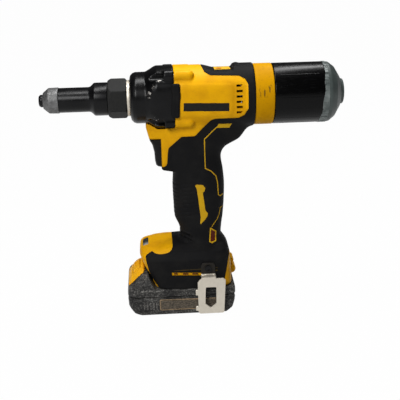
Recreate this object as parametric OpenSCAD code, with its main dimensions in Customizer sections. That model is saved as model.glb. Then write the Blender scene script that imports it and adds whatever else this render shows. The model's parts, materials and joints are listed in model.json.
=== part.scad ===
// Battery rivet tool with a pistol grip. An in-line hollow motor turns a planetary gear and a ball
// screw, whose nut draws the jaw case back inside the nose to pull and snap a rivet's mandrel.
// Millimetres, +Z up, nose towards -X. The origin is the middle of the pack's underside.

/* [Head] */
// Height of the drive axis above the surface that the pack stands on
axis_h = 228; // [224:1:234]
// Radius of the round head and of the gear case
head_r = 32.5; // [32:0.5:35]
// Distance from the drive axis to each flat side of the head
head_flat = 29; // [28.6:0.2:30.6]
// Length of the head behind the gear case
head_l = 82; // [81:0.5:88]
// X of the joint face between gear case and head
parting_x = -2; // [-4:0.5:0]
// Depth of the dip along the top of the head
dip_d = 5; // [3:0.5:5]

/* [Gear case] */
// Radius of the gear case's narrow front
case_front_r = 26.4; // [25:0.2:28]
// Thickness of the side bumpers
bumper_t = 2.4; // [1.6:0.2:4]

/* [Nose] */
// Width across the flats of the hexagon nut
hex_af = 36; // [34:1:42]
// Length of the hexagon nut
hex_l = 19.5; // [19:0.5:24]
// Radius of the nose tube
tube_r = 12.7; // [12.2:0.1:14]
// Length of the nose tube's straight front
tube_l = 32; // [31:0.5:40]
// Radius of the collar behind the nose tube
collar_r = 17; // [16:0.5:17.8]
// Length of the steel nose cone in front of the tube
cone_l = 16; // [14:0.5:20]
// Radius of the nosepiece's tip
tip_r = 5.7; // [5:0.1:6.4]
// Radius of the nosepiece's bore for a rivet's mandrel
mandrel_bore_r = 2.1; // [1.2:0.1:2.3]

/* [Pulling drive] */
// Stroke of the jaw case
stroke = 25; // [18:0.5:25]
// Travel of the jaws against their spring
jaw_travel = 2; // [1:0.2:2.4]
// Gear module of the planetary stage
gear_m = 0.8; // [0.78:0.01:0.81]

/* [Rear] */
// Length of the yellow rear collar
ring_l = 19.5; // [18:0.5:24]
// Radius of the rear collar
ring_r = 31.4; // [31:0.2:33]
// Length of the mandrel canister behind the collar
canister_l = 52; // [40:1:70]
// Length of the canister's end cap
cap_l = 22; // [16:1:30]

/* [Grip and trigger] */
// Depth of the grip from front to back
grip_d = 54; // [52:1:58]
// Width of the grip
grip_w = 38; // [36:1:44]
// Height of the trigger as a share of the grip's height
trigger_share = 0.2554; // [0.25:0.0002:0.265]
// Width of the trigger
trigger_w = 17; // [14:0.5:18]
// Travel of the trigger
trigger_travel = 6; // [4:0.5:6.5]

/* [Foot] */
// Length of the foot
foot_l = 97.5; // [95:0.5:100]
// Width of the foot
foot_w = 76; // [75:0.5:80]
// Height of the foot's shoulders above the surface
foot_top = 80; // [78:1:84]
// Thickness of the belt hook's steel strip
hook_t = 2; // [1.5:0.1:2.5]
// Gap between the belt hook and the foot
hook_gap = 7; // [6:0.5:10]

/* [Pack] */
// Length of the battery pack
pack_l = 115.5; // [114:0.5:120]
// Width of the battery pack
pack_w = 75; // [74:0.5:76]
// Height of the battery pack's body below the foot
pack_h = 29; // [28.5:0.5:31]
// Height of the battery pack's front hump
hump_h = 54; // [52:0.5:56]

/* [Walls] */
// Thickness of the moulded rubber
rubber_t = 1.6; // [1.2:0.1:2]
// Clearance around parts seated in pockets
seat_gap = 0.15; // [0.1:0.05:0.25]
// Clearance between a sliding part and its guide
slide_gap = 0.4; // [0.3:0.05:0.5]

/* [Hidden] */
$fn = 64;

// Overrun of every cut, overlap of joined shapes and gap of the parting line
over = 1;
film = 0.01;
split_gap = 0.1;
// Clearance of running fits, of pressed seats and between ends that only just clear each other
fit_gap = 0.05;
press_gap = 0.02;
end_gap = 0.5;
hull_fn = 14;
shell_fn = 36;

// Named colours of the finishes
yellow = [0.96, 0.70, 0.02];
black = [0.08, 0.08, 0.08];
rubber = [0.13, 0.13, 0.13];
steel = [0.66, 0.66, 0.64];
dark_steel = [0.30, 0.30, 0.31];
copper = [0.72, 0.42, 0.20];
smoke = [0.42, 0.46, 0.44];
board_green = [0.10, 0.32, 0.18];
worn_zinc = [0.72, 0.69, 0.62];
clear = [0.9, 0.93, 0.95];

// Places along the drive axis, from the joint face forwards and backwards
lock_t = 3;
collar_l = 13.5;
taper_l = 4.5;
tip_l = 4.5;
front_wall = 2.5;
nut_l = 16;
case_l = front_wall + nut_l + stroke + 2 * end_gap;
case_x = parting_x - case_l;
lock_x = case_x - lock_t;
hex_x = lock_x - hex_l;
collar_x = hex_x - collar_l;
taper_x = collar_x - taper_l;
tube_x = taper_x - tube_l;
cone_x = tube_x - cone_l;
tip_x = cone_x - tip_l;
head_end = parting_x + head_l;
ring_end = head_end + ring_l;

// Puts a shape that stands along its own z at place x of the drive axis, pointing backwards
module on_axis(x) {
  translate([x, 0, axis_h]) rotate([0, 90, 0]) children();
}

// A turned part from points of [radius, place along the drive axis]
module turned(points) {
  on_axis(0) rotate_extrude() polygon(points);
}

// A ring or tube between two places of the drive axis
module sleeve(x0, x1, r_out, r_in) {
  turned([[r_in, x0], [r_out, x0], [r_out, x1], [r_in, x1]]);
}

// A plain round bar or bore along the drive axis
module bar(x0, x1, r, facets = $fn) {
  on_axis(x0) cylinder(h = x1 - x0, r = r, $fn = facets);
}

// A plate of the given side outline, of the given width across the tool
module side_plate(width) {
  rotate([90, 0, 0]) linear_extrude(height = width, center = true) children();
}

// A box from its lowest to its highest corner
module block(low, high) {
  translate(low) cube(high - low);
}

// Points of an arc about a centre
function arc(centre, r, from, to, steps) =
  [for (i = [0:steps]) let (a = from + (to - from) * i / steps) centre + r * [cos(a), sin(a)]];

// A coil spring as one tube along a helix, standing on its own z, for a deforming spring node
coil_rings = 6;
coil_sides = 6;
function coil_point(r, wire, length, turns, ring, side) =
  let (a = 360 * ring / coil_rings, b = 360 * side / coil_sides,
       rise = wire / 2 + (length - wire) * ring / (turns * coil_rings),
       out = r + wire / 2 * cos(b))
  [out * cos(a), out * sin(a), rise + wire / 2 * sin(b)];
module coil(r, wire, length, turns) {
  rings = turns * coil_rings;
  points = [for (i = [0:rings]) for (k = [0:coil_sides - 1])
    coil_point(r, wire, length, turns, i, k)];
  sides = [for (i = [0:rings - 1]) for (k = [0:coil_sides - 1]) for (half = [0, 1])
    let (a = i * coil_sides, b = a + coil_sides, n = (k + 1) % coil_sides)
    half == 0 ? [a + k, b + k, b + n] : [a + k, b + n, a + n]];
  ends = [for (k = [1:coil_sides - 2]) for (end = [0, 1])
    let (last = rings * coil_sides)
    end == 0 ? [0, k, k + 1] : [last, last + k + 1, last + k]];
  polyhedron(points, concat(sides, ends), convexity = 6);
  echo(coil_gap = (length - wire) / turns - wire);
}

// The moulded body: head, grip and foot
// Each row of a loft is height, front, back and half width in shares, and how square the section is.
// Grip rows take heights between the neck and the head's underside, the rest from the grip's sizes.
grip_x = -6;
grip_l = axis_h - head_r - foot_top;
grip_shares = [
  [-0.009, 0.13, 0.937, 1.04, 2.5], [0.081, 0.104, 0.948, 1.01, 2.5], [0.172, 0.024, 0.978, 0.98, 2.5],
  [0.302, 0.008, 1.003, 1.00, 2.5], [0.477, 0.00, 1.016, 1.02, 2.5], [0.605, 0.01, 0.997, 0.98, 2.5],
  [0.745, -0.075, 0.963, 0.93, 2.5], [0.821, -0.11, 1.055, 0.90, 2.5]];
// Throat rows join the grip to the head, so their back is a share of the head's length.
throat_shares = [
  [0.893, -0.148, 0.827, 0.90, 2.6], [0.996, -0.185, 0.926, 0.94, 2.8], [1.134, -0.20, 0.978, 1.00, 3]];
// Foot rows take heights between the pack and the neck, the rest from the foot's sizes.
foot_x = -43;
foot_shares = [
  [0, 0.133, 1.00, 1.00, 5], [0.61, 0.00, 0.988, 0.975, 4.5], [0.747, 0.004, 0.964, 0.863, 4],
  [0.822, 0.0615, 0.948, 0.711, 3.2], [0.863, 0.215, 0.935, 0.605, 2.8], [0.886, 0.40, 0.927, 0.553, 2.7]];
function grip_height(share) = foot_top + share * grip_l;
function foot_height(share) = pack_h + share * (foot_top - pack_h);
function grip_row(s) =
  [grip_height(s[0]), grip_x + s[1] * grip_d, grip_x + s[2] * grip_d, s[3] * grip_w / 2, s[4]];
function throat_row(s) =
  [grip_height(s[0]), grip_x + s[1] * grip_d, parting_x + s[2] * head_l, s[3] * grip_w / 2, s[4]];
function foot_row(s) = [foot_height(s[0]) + slide_gap, foot_x + s[1] * foot_l, foot_x + s[2] * foot_l,
  s[3] * foot_w / 2, s[4]];
foot_rows = [for (s = foot_shares) foot_row(s)];
body_rows = concat(foot_rows, [for (s = grip_shares) grip_row(s)],
  [for (s = throat_shares) throat_row(s)]);

// A point of a superellipse section, drawn in from the outer face by inset
function section_point(row, inset, a) =
  let (e = 2 / row[4], rx = (row[2] - row[1]) / 2 - inset, ry = row[3] - inset)
  [(row[1] + row[2]) / 2 + rx * sign(cos(a)) * pow(abs(cos(a)), e),
   ry * sign(sin(a)) * pow(abs(sin(a)), e)];
function section(row, inset) = [for (i = [0:ring_n - 1])
  let (p = section_point(row, inset, 360 * i / ring_n)) [p[0], p[1], row[0]]];
// Rows between the given ones: heights run straight and the other columns follow a smooth curve
function curve(a, b, c, d, t) = b + t * ((c - a) + t * ((2 * a - 5 * b + 4 * c - d)
  + t * (3 * b - a - 3 * c + d))) / 2;
function row_between(rows, i, t) =
  let (last = len(rows) - 1,
       mix = curve(rows[max(0, i - 1)], rows[i], rows[min(last, i + 1)], rows[min(last, i + 2)], t))
  [rows[i][0] + t * (rows[min(last, i + 1)][0] - rows[i][0]), mix[1], mix[2], mix[3], mix[4]];
function smooth_rows(rows) = concat(
  [for (i = [0:len(rows) - 2]) for (k = [0:row_steps - 1]) row_between(rows, i, k / row_steps)],
  [rows[len(rows) - 1]]);
ring_n = 24;
row_steps = 2;
module loft(rows, inset) {
  all_rows = smooth_rows(rows);
  last = (len(all_rows) - 1) * ring_n;
  points = [for (row = all_rows) each section(row, inset)];
  sides = [for (i = [0:len(all_rows) - 2]) for (k = [0:ring_n - 1]) for (half = [0, 1])
    let (a = i * ring_n, b = a + ring_n, n = (k + 1) % ring_n)
    half == 0 ? [a + k, b + k, b + n] : [a + k, b + n, a + n]];
  caps = [[for (k = [0:ring_n - 1]) k], [for (k = [0:ring_n - 1]) last + ring_n - 1 - k]];
  polyhedron(points, concat(sides, caps), convexity = 6);
}

// The round head with its flat sides, and the dip along its top
band_l = 7.5;
dip_shares = [[0.34, 0], [0.50, 1], [0.735, 1], [0.755, 0]];
module head_body(inset) {
  top = axis_h + head_r;
  flat = head_flat - inset;
  difference() {
    union() {
      intersection() {
        bar(parting_x, head_end - band_l + film, head_r - inset, shell_fn);
        block([parting_x - over, -flat, 0], [head_end, flat, top]);
      }
      bar(head_end - band_l, head_end, head_r - inset, shell_fn);
    }
    side_plate(2 * head_r) polygon(concat(
      [[parting_x + dip_shares[0][0] * head_l, top + over]],
      [for (s = dip_shares) [parting_x + s[0] * head_l, top - s[1] * dip_d - inset]],
      [[parting_x + dip_shares[3][0] * head_l, top + over]]));
  }
}

// Screw bosses of gear case and head: places across the axis in shares of the head's radius
boss_r = 6;
boss_l = 15;
boss_shares = [[-0.75, 0.65], [-0.75, -0.65], [0.7, 0.65], [0.7, -0.65]];
module at_bosses(x) {
  for (s = boss_shares) on_axis(x) translate([s[0] * head_r, s[1] * head_r, 0]) children();
}
module head_bosses() {
  at_bosses(parting_x) {
    cylinder(h = boss_l, r = boss_r, $fn = hull_fn);
    translate([0, 0, boss_l]) sphere(r = boss_r, $fn = hull_fn / 2);
  }
}

// The chin over the trigger and the frame behind it, in side view
chin_w = 24;
chin_reach = 26.4;
chin_front = grip_x - chin_reach;
trigger_reach = 23;
trigger_front = grip_x - trigger_reach;
trigger_z_share = 0.6537;
trigger_z = grip_height(trigger_z_share);
trigger_h = trigger_share * grip_l;
trigger_d = 17;
trigger_back = trigger_front + trigger_d;
trigger_top = trigger_z + trigger_h;
frame_share = 0.72;
frame_x = trigger_front + frame_share * trigger_d;
module chin() {
  low = trigger_z - 2 * rubber_t;
  side_plate(chin_w) polygon([
    [chin_front, axis_h - head_r + boss_r], [chin_front, axis_h - head_r + rubber_t],
    [trigger_front, trigger_top + slide_gap], [frame_x, trigger_top + slide_gap],
    [frame_x, low + rubber_t], [frame_x + rubber_t, low], [grip_x, low - rubber_t],
    [grip_x + boss_r, low], [grip_x + boss_r, axis_h - head_r + boss_r]]);
}

// Rear lugs of the foot, which stop it from rocking when the tool lies on its back
lug_r = 5.5;
lug_w = 18;
lug_shares = [[0.18, 1], [0.38, 0.62]];
module foot_lugs() {
  for (s = lug_shares) translate([foot_x + foot_l, 0, foot_height(s[0])])
    rotate([90, 0, 0]) cylinder(h = lug_w, r = lug_r * s[1], center = true, $fn = hull_fn);
}

module body_form(inset) {
  head_body(inset);
  loft(body_rows, inset);
}

// Side outline of the rubber: along the head's panel, down the grip and round the foot
panel_shares = [[0.34, 1.05], [0.38, 0.83], [0.45, 0.74], [0.80, 0.71], [0.875, 0.61], [0.905, 0.45],
  [0.905, -0.30], [0.86, -0.50], [0.79, -0.595], [0.495, -0.595], [0.43, -0.65], [0.28, -1.0],
  [0.27, -1.12], [0.08, -1.11], [-0.10, -1.49]];
// Shoulder, label and front strip of the foot, in shares of the foot's length and height
label_shares = [[0.35, 1.10], [0.354, 0.84], [0.31, 0.76], [0.20, 0.75], [0.125, 0.82], [0.063, 0.725],
  [0.066, 0.55], [0.124, 0.186], [0.175, -0.02]];
module rubber_outline() {
  low = [for (s = label_shares) [foot_x + s[0] * foot_l, foot_height(s[1])]];
  panel = [for (s = panel_shares) [parting_x + s[0] * head_l, axis_h + s[1] * head_r]];
  polygon(concat(
    [[head_end + over, axis_h + head_r + boss_r]], panel, [[frame_x + rubber_t, trigger_z],
    [frame_x + rubber_t, trigger_z - boss_r], [grip_x - boss_r, foot_top + boss_r]], low,
    [[foot_x + foot_l + over, pack_h - over], [foot_x + foot_l + over, foot_top],
    [head_end + over, axis_h - head_r]]));
}

// Long slot in the rubber of each foot side, which shows the housing underneath
slot_shares = [[0.33, 0.32], [0.70, 0.38]];
module foot_slot() {
  low = [foot_x + slot_shares[0][0] * foot_l, foot_height(slot_shares[0][1])];
  high = [foot_x + slot_shares[1][0] * foot_l, foot_height(slot_shares[1][1])];
  translate(low) square(high - low);
}
module rubber_form() {
  side_plate(foot_w + over) difference() {
    rubber_outline();
    foot_slot();
  }
}

// Pockets inside the moulded body
bore_r = 27;
switch_rise = 2.5;
switch_drop = 1.5;
switch_size = [30, 20, trigger_h - switch_drop];
spring_room = 8;
switch_low = [trigger_back + spring_room, -switch_size[1] / 2, trigger_z + switch_rise];
switch_high = switch_low + switch_size;
module_size = [34, 20];
module_inset = 10;
module_shares = [0.13, 0.589];
module_low = [grip_x + module_inset, -module_size[1] / 2, grip_height(module_shares[0])];
module_high = [module_low[0] + module_size[0], module_size[1] / 2, grip_height(module_shares[1])];
wire_r = 5;
wire_share = 0.407;
wire_x = grip_x + wire_share * grip_d;
vent_count = 6;
vent_pitch = 5.4;
vent_size = [6, 2.5];
vent_share = 0.80;
module air_vents() {
  for (i = [0:vent_count - 1], side = [-1, 1])
    translate([parting_x + vent_share * head_l, side * head_flat,
               axis_h + (i - (vent_count - 1) / 2) * vent_pitch]) rotate([90, 0, 0]) hull()
      for (end = [-1, 1]) translate([end * (vent_size[0] - vent_size[1]) / 2, 0, 0])
        cylinder(h = 2 * boss_r, d = vent_size[1], center = true, $fn = 12);
}
module trigger_pocket() {
  half = trigger_w / 2 + slide_gap;
  block([trigger_front - over, -half, trigger_z - slide_gap],
        [switch_low[0] + over, half, trigger_top + slide_gap + film]);
}

// Guide of the pack: the foot is open below and in front, and two rails hang from its walls
tower_w = 54;
tower_h = 14;
tower_z = pack_h + tower_h;
foot_wall = 3.2;
terminal_l = 4.3;
terminal_t = 3.4;
hump_lead = 15.6;
pack_x = foot_x - hump_lead;
pack_heel = 7.2;
bay_back = min(foot_x + foot_l - foot_wall - rubber_t, pack_x + pack_l - pack_heel);
bay_top = tower_z + slide_gap + terminal_t;
tower_inset = 14;
tower_front = foot_x + tower_inset;
tower_back = bay_back - terminal_l - slide_gap;
rail_rise = 4.4;
rail_t = 3.2;
rail_z = [pack_h + rail_rise, pack_h + rail_rise + rail_t];
rail_depth = 4;
module pack_bay() {
  half = foot_w / 2 - foot_wall - rubber_t;
  difference() {
    block([foot_x - over, -half, pack_h - over], [bay_back, half, bay_top]);
    for (side = [-1, 1]) mirror([0, side < 0 ? 1 : 0, 0])
      block([foot_x - over, tower_w / 2 - rail_depth + slide_gap, rail_z[0]],
            [bay_back + over, half + over, rail_z[1]]);
  }
}
lens_size = [10, 22, 8.5];
lens_drop = 16;
lens_low = [foot_x - over, -lens_size[1] / 2, foot_top - lens_drop];
lens_high = lens_low + lens_size;

module hollow_body() {
  bar(parting_x - over, head_end + over, bore_r, shell_fn);
  trigger_pocket();
  block(switch_low - seat_gap * [1, 1, 1], switch_high + seat_gap * [1, 1, 1]);
  block(module_low - seat_gap * [1, 1, 1], module_high + seat_gap * [1, 1, 1]);
  translate([wire_x, 0, tower_z]) cylinder(h = axis_h - tower_z, r = wire_r, $fn = hull_fn);
  pack_bay();
  block(lens_low - seat_gap * [over / seat_gap, 1, 1], lens_high + seat_gap * [1, 1, 1]);
  air_vents();
  screw_holes();
  hook_seat();
  at_bosses(parting_x - over)
    cylinder(h = over + boss_l + seat_gap, r = screw_r + seat_gap, $fn = hull_fn);
  case_form(seat_gap);
}

// Clamshell screws: places in the side view, driven in from the right half
screw_r = 2;
screw_head_r = 3.6;
screw_head_t = 2.2;
screw_l = 22;
screw_seat = 9;
head_screw_share = 0.78;
neck_share = 1.013;
grip_screw_shares = [[0.26, neck_share], [0.87, 0.8485], [0.083, 0.6235], [0.89, 0.2252], [0.26, 0.0693]];
foot_screw_shares = [[0.154, 0.647], [0.913, 0.608]];
screw_places = concat(
  [[parting_x + head_screw_share * head_l, grip_height(neck_share)]],
  [for (s = grip_screw_shares) [grip_x + s[0] * grip_d, grip_height(s[1])]],
  [for (s = foot_screw_shares) [foot_x + s[0] * foot_l, foot_height(s[1])]]);
module at_screws() {
  for (p = screw_places) translate([p[0], screw_seat, p[1]]) rotate([90, 0, 0]) children();
}
module screw_holes() {
  at_screws() {
    translate([0, 0, -foot_w]) cylinder(h = foot_w, r = screw_head_r + seat_gap, $fn = hull_fn);
    cylinder(h = screw_l - screw_head_t + seat_gap, r = screw_r + seat_gap, $fn = hull_fn);
  }
}
module housing_screws() {
  color(dark_steel) at_screws() difference() {
    union() {
      translate([0, 0, -screw_head_t]) cylinder(h = screw_head_t, r = screw_head_r);
      cylinder(h = screw_l - screw_head_t, r = screw_r);
    }
    translate([0, 0, -screw_head_t - over]) cylinder(h = over + screw_r / 2, r = screw_r, $fn = 6);
  }
}

// Seat of the belt hook's tab on both sides of the foot
hook_x_share = 0.723;
hook_x = foot_x + hook_x_share * foot_l;
hook_tab_w = 15;
hook_tab_shares = [0.343, 0.569];
hook_tab_top = foot_height(hook_tab_shares[1]);
hook_screw_z = foot_height((hook_tab_shares[0] + hook_tab_shares[1]) / 2);
hook_screw_r = 2;
hook_screw_l = 12;
module hook_seat() {
  for (side = [-1, 1]) mirror([0, side < 0 ? 1 : 0, 0])
    translate([hook_x, foot_w / 2 - hook_screw_l, hook_screw_z]) rotate([-90, 0, 0])
        cylinder(h = hook_screw_l + hook_t + over, r = hook_screw_r + seat_gap);
}

// One half of the moulded body: side is -1 for the left half and 1 for the right
module half_space(side) {
  wide = foot_w + over;
  y0 = side < 0 ? -wide : split_gap / 2;
  block([chin_front - head_l, y0, 0], [head_end + over, y0 + wide - split_gap / 2, 2 * axis_h]);
}
module housing(side) {
  color(yellow) intersection() {
    difference() {
      union() {
        body_form(rubber_t);
        difference() {
          body_form(0);
          rubber_form();
        }
        head_bosses();
        chin();
        foot_lugs();
      }
      hollow_body();
    }
    half_space(side);
  }
}
module overmold(side) {
  color(rubber) intersection() {
    difference() {
      body_form(0);
      body_form(rubber_t - split_gap / 2);
      chin();
      foot_lugs();
      hollow_body();
    }
    rubber_form();
    half_space(side);
  }
}
module left_housing() {
  housing(-1);
}
module right_housing() {
  housing(1);
}
module left_overmold() {
  overmold(-1);
}
module right_overmold() {
  overmold(1);
}

// Gear case: turned aluminium cover with a threaded spigot, a bearing seat and the ring gear's sleeve
case_round = 6;
flare_shares = [0.37, 0.60];
spigot_r = 15.5;
spigot_l = 12;
guide_r = 10.8;
nut_r = 16;
key_w = 5;
key_r = 19;
bearing_r = 17;
bearing_x = parting_x + over;
bearing_t = 6;
carrier_t = 3.2;
carrier_x = bearing_x + bearing_t + split_gap;
gear_room = 0.7;
gear_x = carrier_x + carrier_t + gear_room;
gear_t = 7.5;
carrier_r = 20;
sleeve_r = 26.8;
ring_gear_r = 25;
ring_gear_l = 10;
ring_lead = 0.3;
ring_gear_x = gear_x - ring_lead;
pocket_r = 4.3;
pocket_depth_share = 0.92;
ear_l = 12;
// Outer form of the gear case with its screw ears, or that form grown for its room beside the chin
module case_form(grow) {
  front = case_front_r + grow;
  wide = head_r + grow;
  flat = head_flat + grow;
  intersection() {
    turned(concat([[0, case_x]],
      arc([front - case_round, case_x + case_round], case_round, -90, 0, 6),
      [[front, case_x + flare_shares[0] * case_l], [wide, case_x + flare_shares[1] * case_l],
       [wide, parting_x], [0, parting_x]]));
    block([case_x - over, -flat, 0], [parting_x + over, flat, axis_h + wide]);
  }
  at_bosses(parting_x - ear_l) cylinder(h = ear_l, r = boss_r + grow);
}
module gear_case() {
  nut_bore = nut_r + slide_gap;
  color(black) difference() {
    union() {
      case_form(0);
      bar(case_x - spigot_l, case_x + over, spigot_r);
      bar(parting_x - over, ring_gear_x + ring_gear_l, sleeve_r);
    }
    bar(case_x - spigot_l - over, parting_x, guide_r);
    bar(case_x + front_wall, parting_x + over, nut_bore);
    for (side = [-1, 1]) block(
      [case_x + front_wall, side > 0 ? 0 : -key_r - slide_gap, axis_h - key_w / 2 - slide_gap],
      [bearing_x, side > 0 ? key_r + slide_gap : 0, axis_h + key_w / 2 + slide_gap]);
    bar(bearing_x, carrier_x + over, bearing_r + seat_gap / 2);
    bar(carrier_x - slide_gap, ring_gear_x, carrier_r + slide_gap);
    bar(ring_gear_x, ring_gear_x + ring_gear_l + over, ring_gear_r + seat_gap / 2);
    at_bosses(case_x) {
      cylinder(h = pocket_depth_share * case_l, r = pocket_r);
      cylinder(h = case_l + over, r = screw_r + seat_gap);
    }
  }
}
module gear_case_screws() {
  color(steel) at_bosses(case_x + pocket_depth_share * case_l) difference() {
    union() {
      translate([0, 0, -screw_head_t]) cylinder(h = screw_head_t, r = screw_head_r);
      cylinder(h = case_l * (1 - pocket_depth_share) + boss_l, r = screw_r);
    }
    translate([0, 0, -screw_head_t - over]) cylinder(h = over + screw_r / 2, r = screw_r, $fn = 6);
  }
}

// Rubber bumpers on both sides of the joint between gear case and head
bumper_h = 36;
bumper_w = 8;
module side_bumpers() {
  color(rubber) for (side = [-1, 1])
    translate([parting_x + bumper_w / 4, side * (head_flat + bumper_t / 2), axis_h])
      rotate([90, 0, 0]) linear_extrude(height = bumper_t, center = true) {
        square([bumper_w, bumper_h - bumper_w], center = true);
        for (end = [-1, 1]) translate([0, end * (bumper_h - bumper_w) / 2]) circle(d = bumper_w);
      }
}

// Yellow plate in the dip on top of the head
inlay_t = 0.8;
inlay_w = 16;
inlay_shares = [0.52, 0.715];
module top_inlay() {
  z = axis_h + head_r - dip_d;
  color(yellow) block([parting_x + inlay_shares[0] * head_l, -inlay_w / 2, z],
                      [parting_x + inlay_shares[1] * head_l, inlay_w / 2, z + inlay_t]);
}

// Nose: lock ring, hexagon nut, nose tube, nose cone and nosepiece
thread_gap = 0.1;
lock_r = 18.6;
nose_thread_r = 14;
nose_thread_l = hex_l - spigot_l + lock_t - thread_gap;
nose_guide_r = 10.7;
module lock_ring() {
  color(worn_zinc) sleeve(lock_x, case_x, lock_r, spigot_r + thread_gap);
}
hex_chamfer = 3;
module hex_nut() {
  corner = hex_af / sqrt(3);
  color(dark_steel) difference() {
    intersection() {
      on_axis(hex_x) cylinder(h = hex_l, r = corner, $fn = 6);
      turned([[0, hex_x], [collar_r + hex_chamfer / 4, hex_x], [corner, hex_x + hex_chamfer],
              [corner, lock_x - hex_chamfer / 2], [hex_af / 2, lock_x], [0, lock_x]]);
    }
    bar(hex_x - over, hex_x + nose_thread_l + thread_gap, nose_thread_r + thread_gap);
    bar(hex_x + nose_thread_l, lock_x + over, spigot_r + thread_gap);
  }
}
module nose_housing() {
  color(black) turned([[nose_guide_r, tube_x], [tube_r, tube_x], [tube_r, taper_x],
    [collar_r, collar_x], [collar_r, hex_x], [nose_thread_r, hex_x],
    [nose_thread_r, hex_x + nose_thread_l], [nose_guide_r, hex_x + nose_thread_l]]);
}
cone_share = 0.5;
cone_face = 0.6;
cone_step = 0.7;
shank_l = 6;
piece_shank_r = 4.5;
module nose_cone() {
  color(steel) turned([[piece_shank_r + thread_gap, cone_x], [tip_r + cone_face, cone_x],
    [tube_r + cone_step, cone_x + cone_share * cone_l], [tube_r + cone_step, tube_x],
    [nose_guide_r - thread_gap, tube_x], [nose_guide_r - thread_gap, tube_x + shank_l],
    [piece_shank_r + thread_gap, tube_x + shank_l]]);
}
jaw_x = tube_x + shank_l + end_gap;
jaw_mouth_l = 3.5;
tip_round = 1.2;
module nosepiece() {
  end = jaw_x + jaw_mouth_l;
  color(black) turned(concat([[mandrel_bore_r, tip_x]],
    arc([tip_r - tip_round, tip_x + tip_round], tip_round, -90, 0, 4),
    [[tip_r, cone_x], [piece_shank_r, cone_x], [piece_shank_r, end], [mandrel_bore_r, end]]));
}

// Jaw case with its cone, three jaws, their pusher and spring
screw_lead_in = 1.5;
screw_front = case_x + front_wall + screw_lead_in;
stroke_room = 2.5;
jaw_case_r = 10.2;
jaw_mouth_r = 5.2;
jaw_room_r = 8.4;
jaw_cone_l = 20;
jaw_case_end = screw_front - stroke - stroke_room;
jaw_cone_x = jaw_x + jaw_mouth_l;
module jaw_case() {
  color(steel) turned([[jaw_mouth_r, jaw_x], [jaw_case_r, jaw_x], [jaw_case_r, jaw_case_end],
    [jaw_room_r, jaw_case_end], [jaw_room_r, jaw_cone_x + jaw_cone_l], [jaw_mouth_r, jaw_cone_x]]);
}
jaw_l = 18.5;
jaw_slack = 0.25;
jaw_bore_r = 1.9;
jaw_gap = 1.2;
jaw_start = jaw_cone_x + end_gap;
cone_rise = (jaw_room_r - jaw_mouth_r) / jaw_cone_l;
module jaw(turn) {
  front = jaw_mouth_r + cone_rise * (jaw_start - jaw_cone_x) - jaw_slack;
  back = front + cone_rise * jaw_l;
  far = 2 * jaw_room_r;
  color(dark_steel) intersection() {
    turned([[jaw_bore_r, jaw_start], [front, jaw_start], [back, jaw_start + jaw_l],
            [jaw_bore_r, jaw_start + jaw_l]]);
    on_axis(jaw_start - over) rotate([0, 0, turn]) linear_extrude(height = jaw_l + 2 * over)
      polygon([[jaw_gap, 0], jaw_gap * [1, 0] + far * [cos(60), sin(60)], [far, far],
               [far, -far], jaw_gap * [1, 0] + far * [cos(60), -sin(60)]]);
  }
}
module jaw_1() {
  jaw(0);
}
module jaw_2() {
  jaw(120);
}
module jaw_3() {
  jaw(240);
}
pusher_gap = 0.3;
pusher_x = jaw_start + jaw_l + pusher_gap;
pusher_t = 5;
pusher_tail_r = 4;
pusher_end = jaw_case_end - jaw_travel;
pusher_bore_r = 2.4;
module jaw_pusher() {
  rim = jaw_room_r - slide_gap / 2;
  color(steel) turned([[pusher_bore_r, pusher_x], [rim, pusher_x], [rim, pusher_x + pusher_t],
    [pusher_tail_r, pusher_x + pusher_t], [pusher_tail_r, pusher_end], [pusher_bore_r, pusher_end]]);
}
tube_front_t = 4;
tube_front_x = jaw_case_end - tube_front_t;
jaw_wire = 1.2;
jaw_spring_turns = 4;
module jaw_spring() {
  length = tube_front_x - pusher_x - pusher_t - slide_gap;
  color(steel) on_axis(pusher_x + pusher_t + slide_gap / 2)
    coil((jaw_room_r + pusher_tail_r) / 2, jaw_wire, length, jaw_spring_turns);
}

// Pull tube and nut, which carry the jaw case, and the screw that turns inside them
nut_x = case_x + front_wall + end_gap;
pull_r = 9.8;
screw_out_r = 8;
screw_room = 0.4;
screw_bore_r = 3.1;
module pull_tube() {
  wide = screw_out_r + screw_room;
  color(steel) turned([[pusher_tail_r + slide_gap, tube_front_x], [jaw_room_r - fit_gap, tube_front_x],
    [jaw_room_r - fit_gap, jaw_case_end], [pull_r, jaw_case_end], [pull_r, nut_x], [wide, nut_x],
    [wide, jaw_case_end + over], [pusher_tail_r + slide_gap, jaw_case_end + over]]);
}
module screw_nut() {
  color(steel) difference() {
    union() {
      bar(nut_x, nut_x + nut_l, nut_r);
      block([nut_x, -key_r, axis_h - key_w / 2], [nut_x + nut_l, key_r, axis_h + key_w / 2]);
    }
    bar(nut_x - over, nut_x + nut_l + over, screw_out_r + screw_room);
  }
}
spindle_r = 6;
thread_pitch = 4;
groove_d = 0.8;
module ball_screw() {
  threads = floor((carrier_x - screw_front) / thread_pitch) - 1;
  color(steel) difference() {
    union() {
      bar(screw_front, carrier_x, screw_out_r);
      bar(carrier_x - over, carrier_x + carrier_t, spindle_r);
    }
    bar(screw_front - over, carrier_x + carrier_t + over, screw_bore_r);
    for (i = [0:threads - 1]) on_axis(screw_front + (i + 1) * thread_pitch)
      rotate_extrude() translate([screw_out_r, 0]) circle(r = groove_d, $fn = 16);
  }
}
ball_r = 0.9;
ball_count = 16;
race_room = 1;
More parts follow.
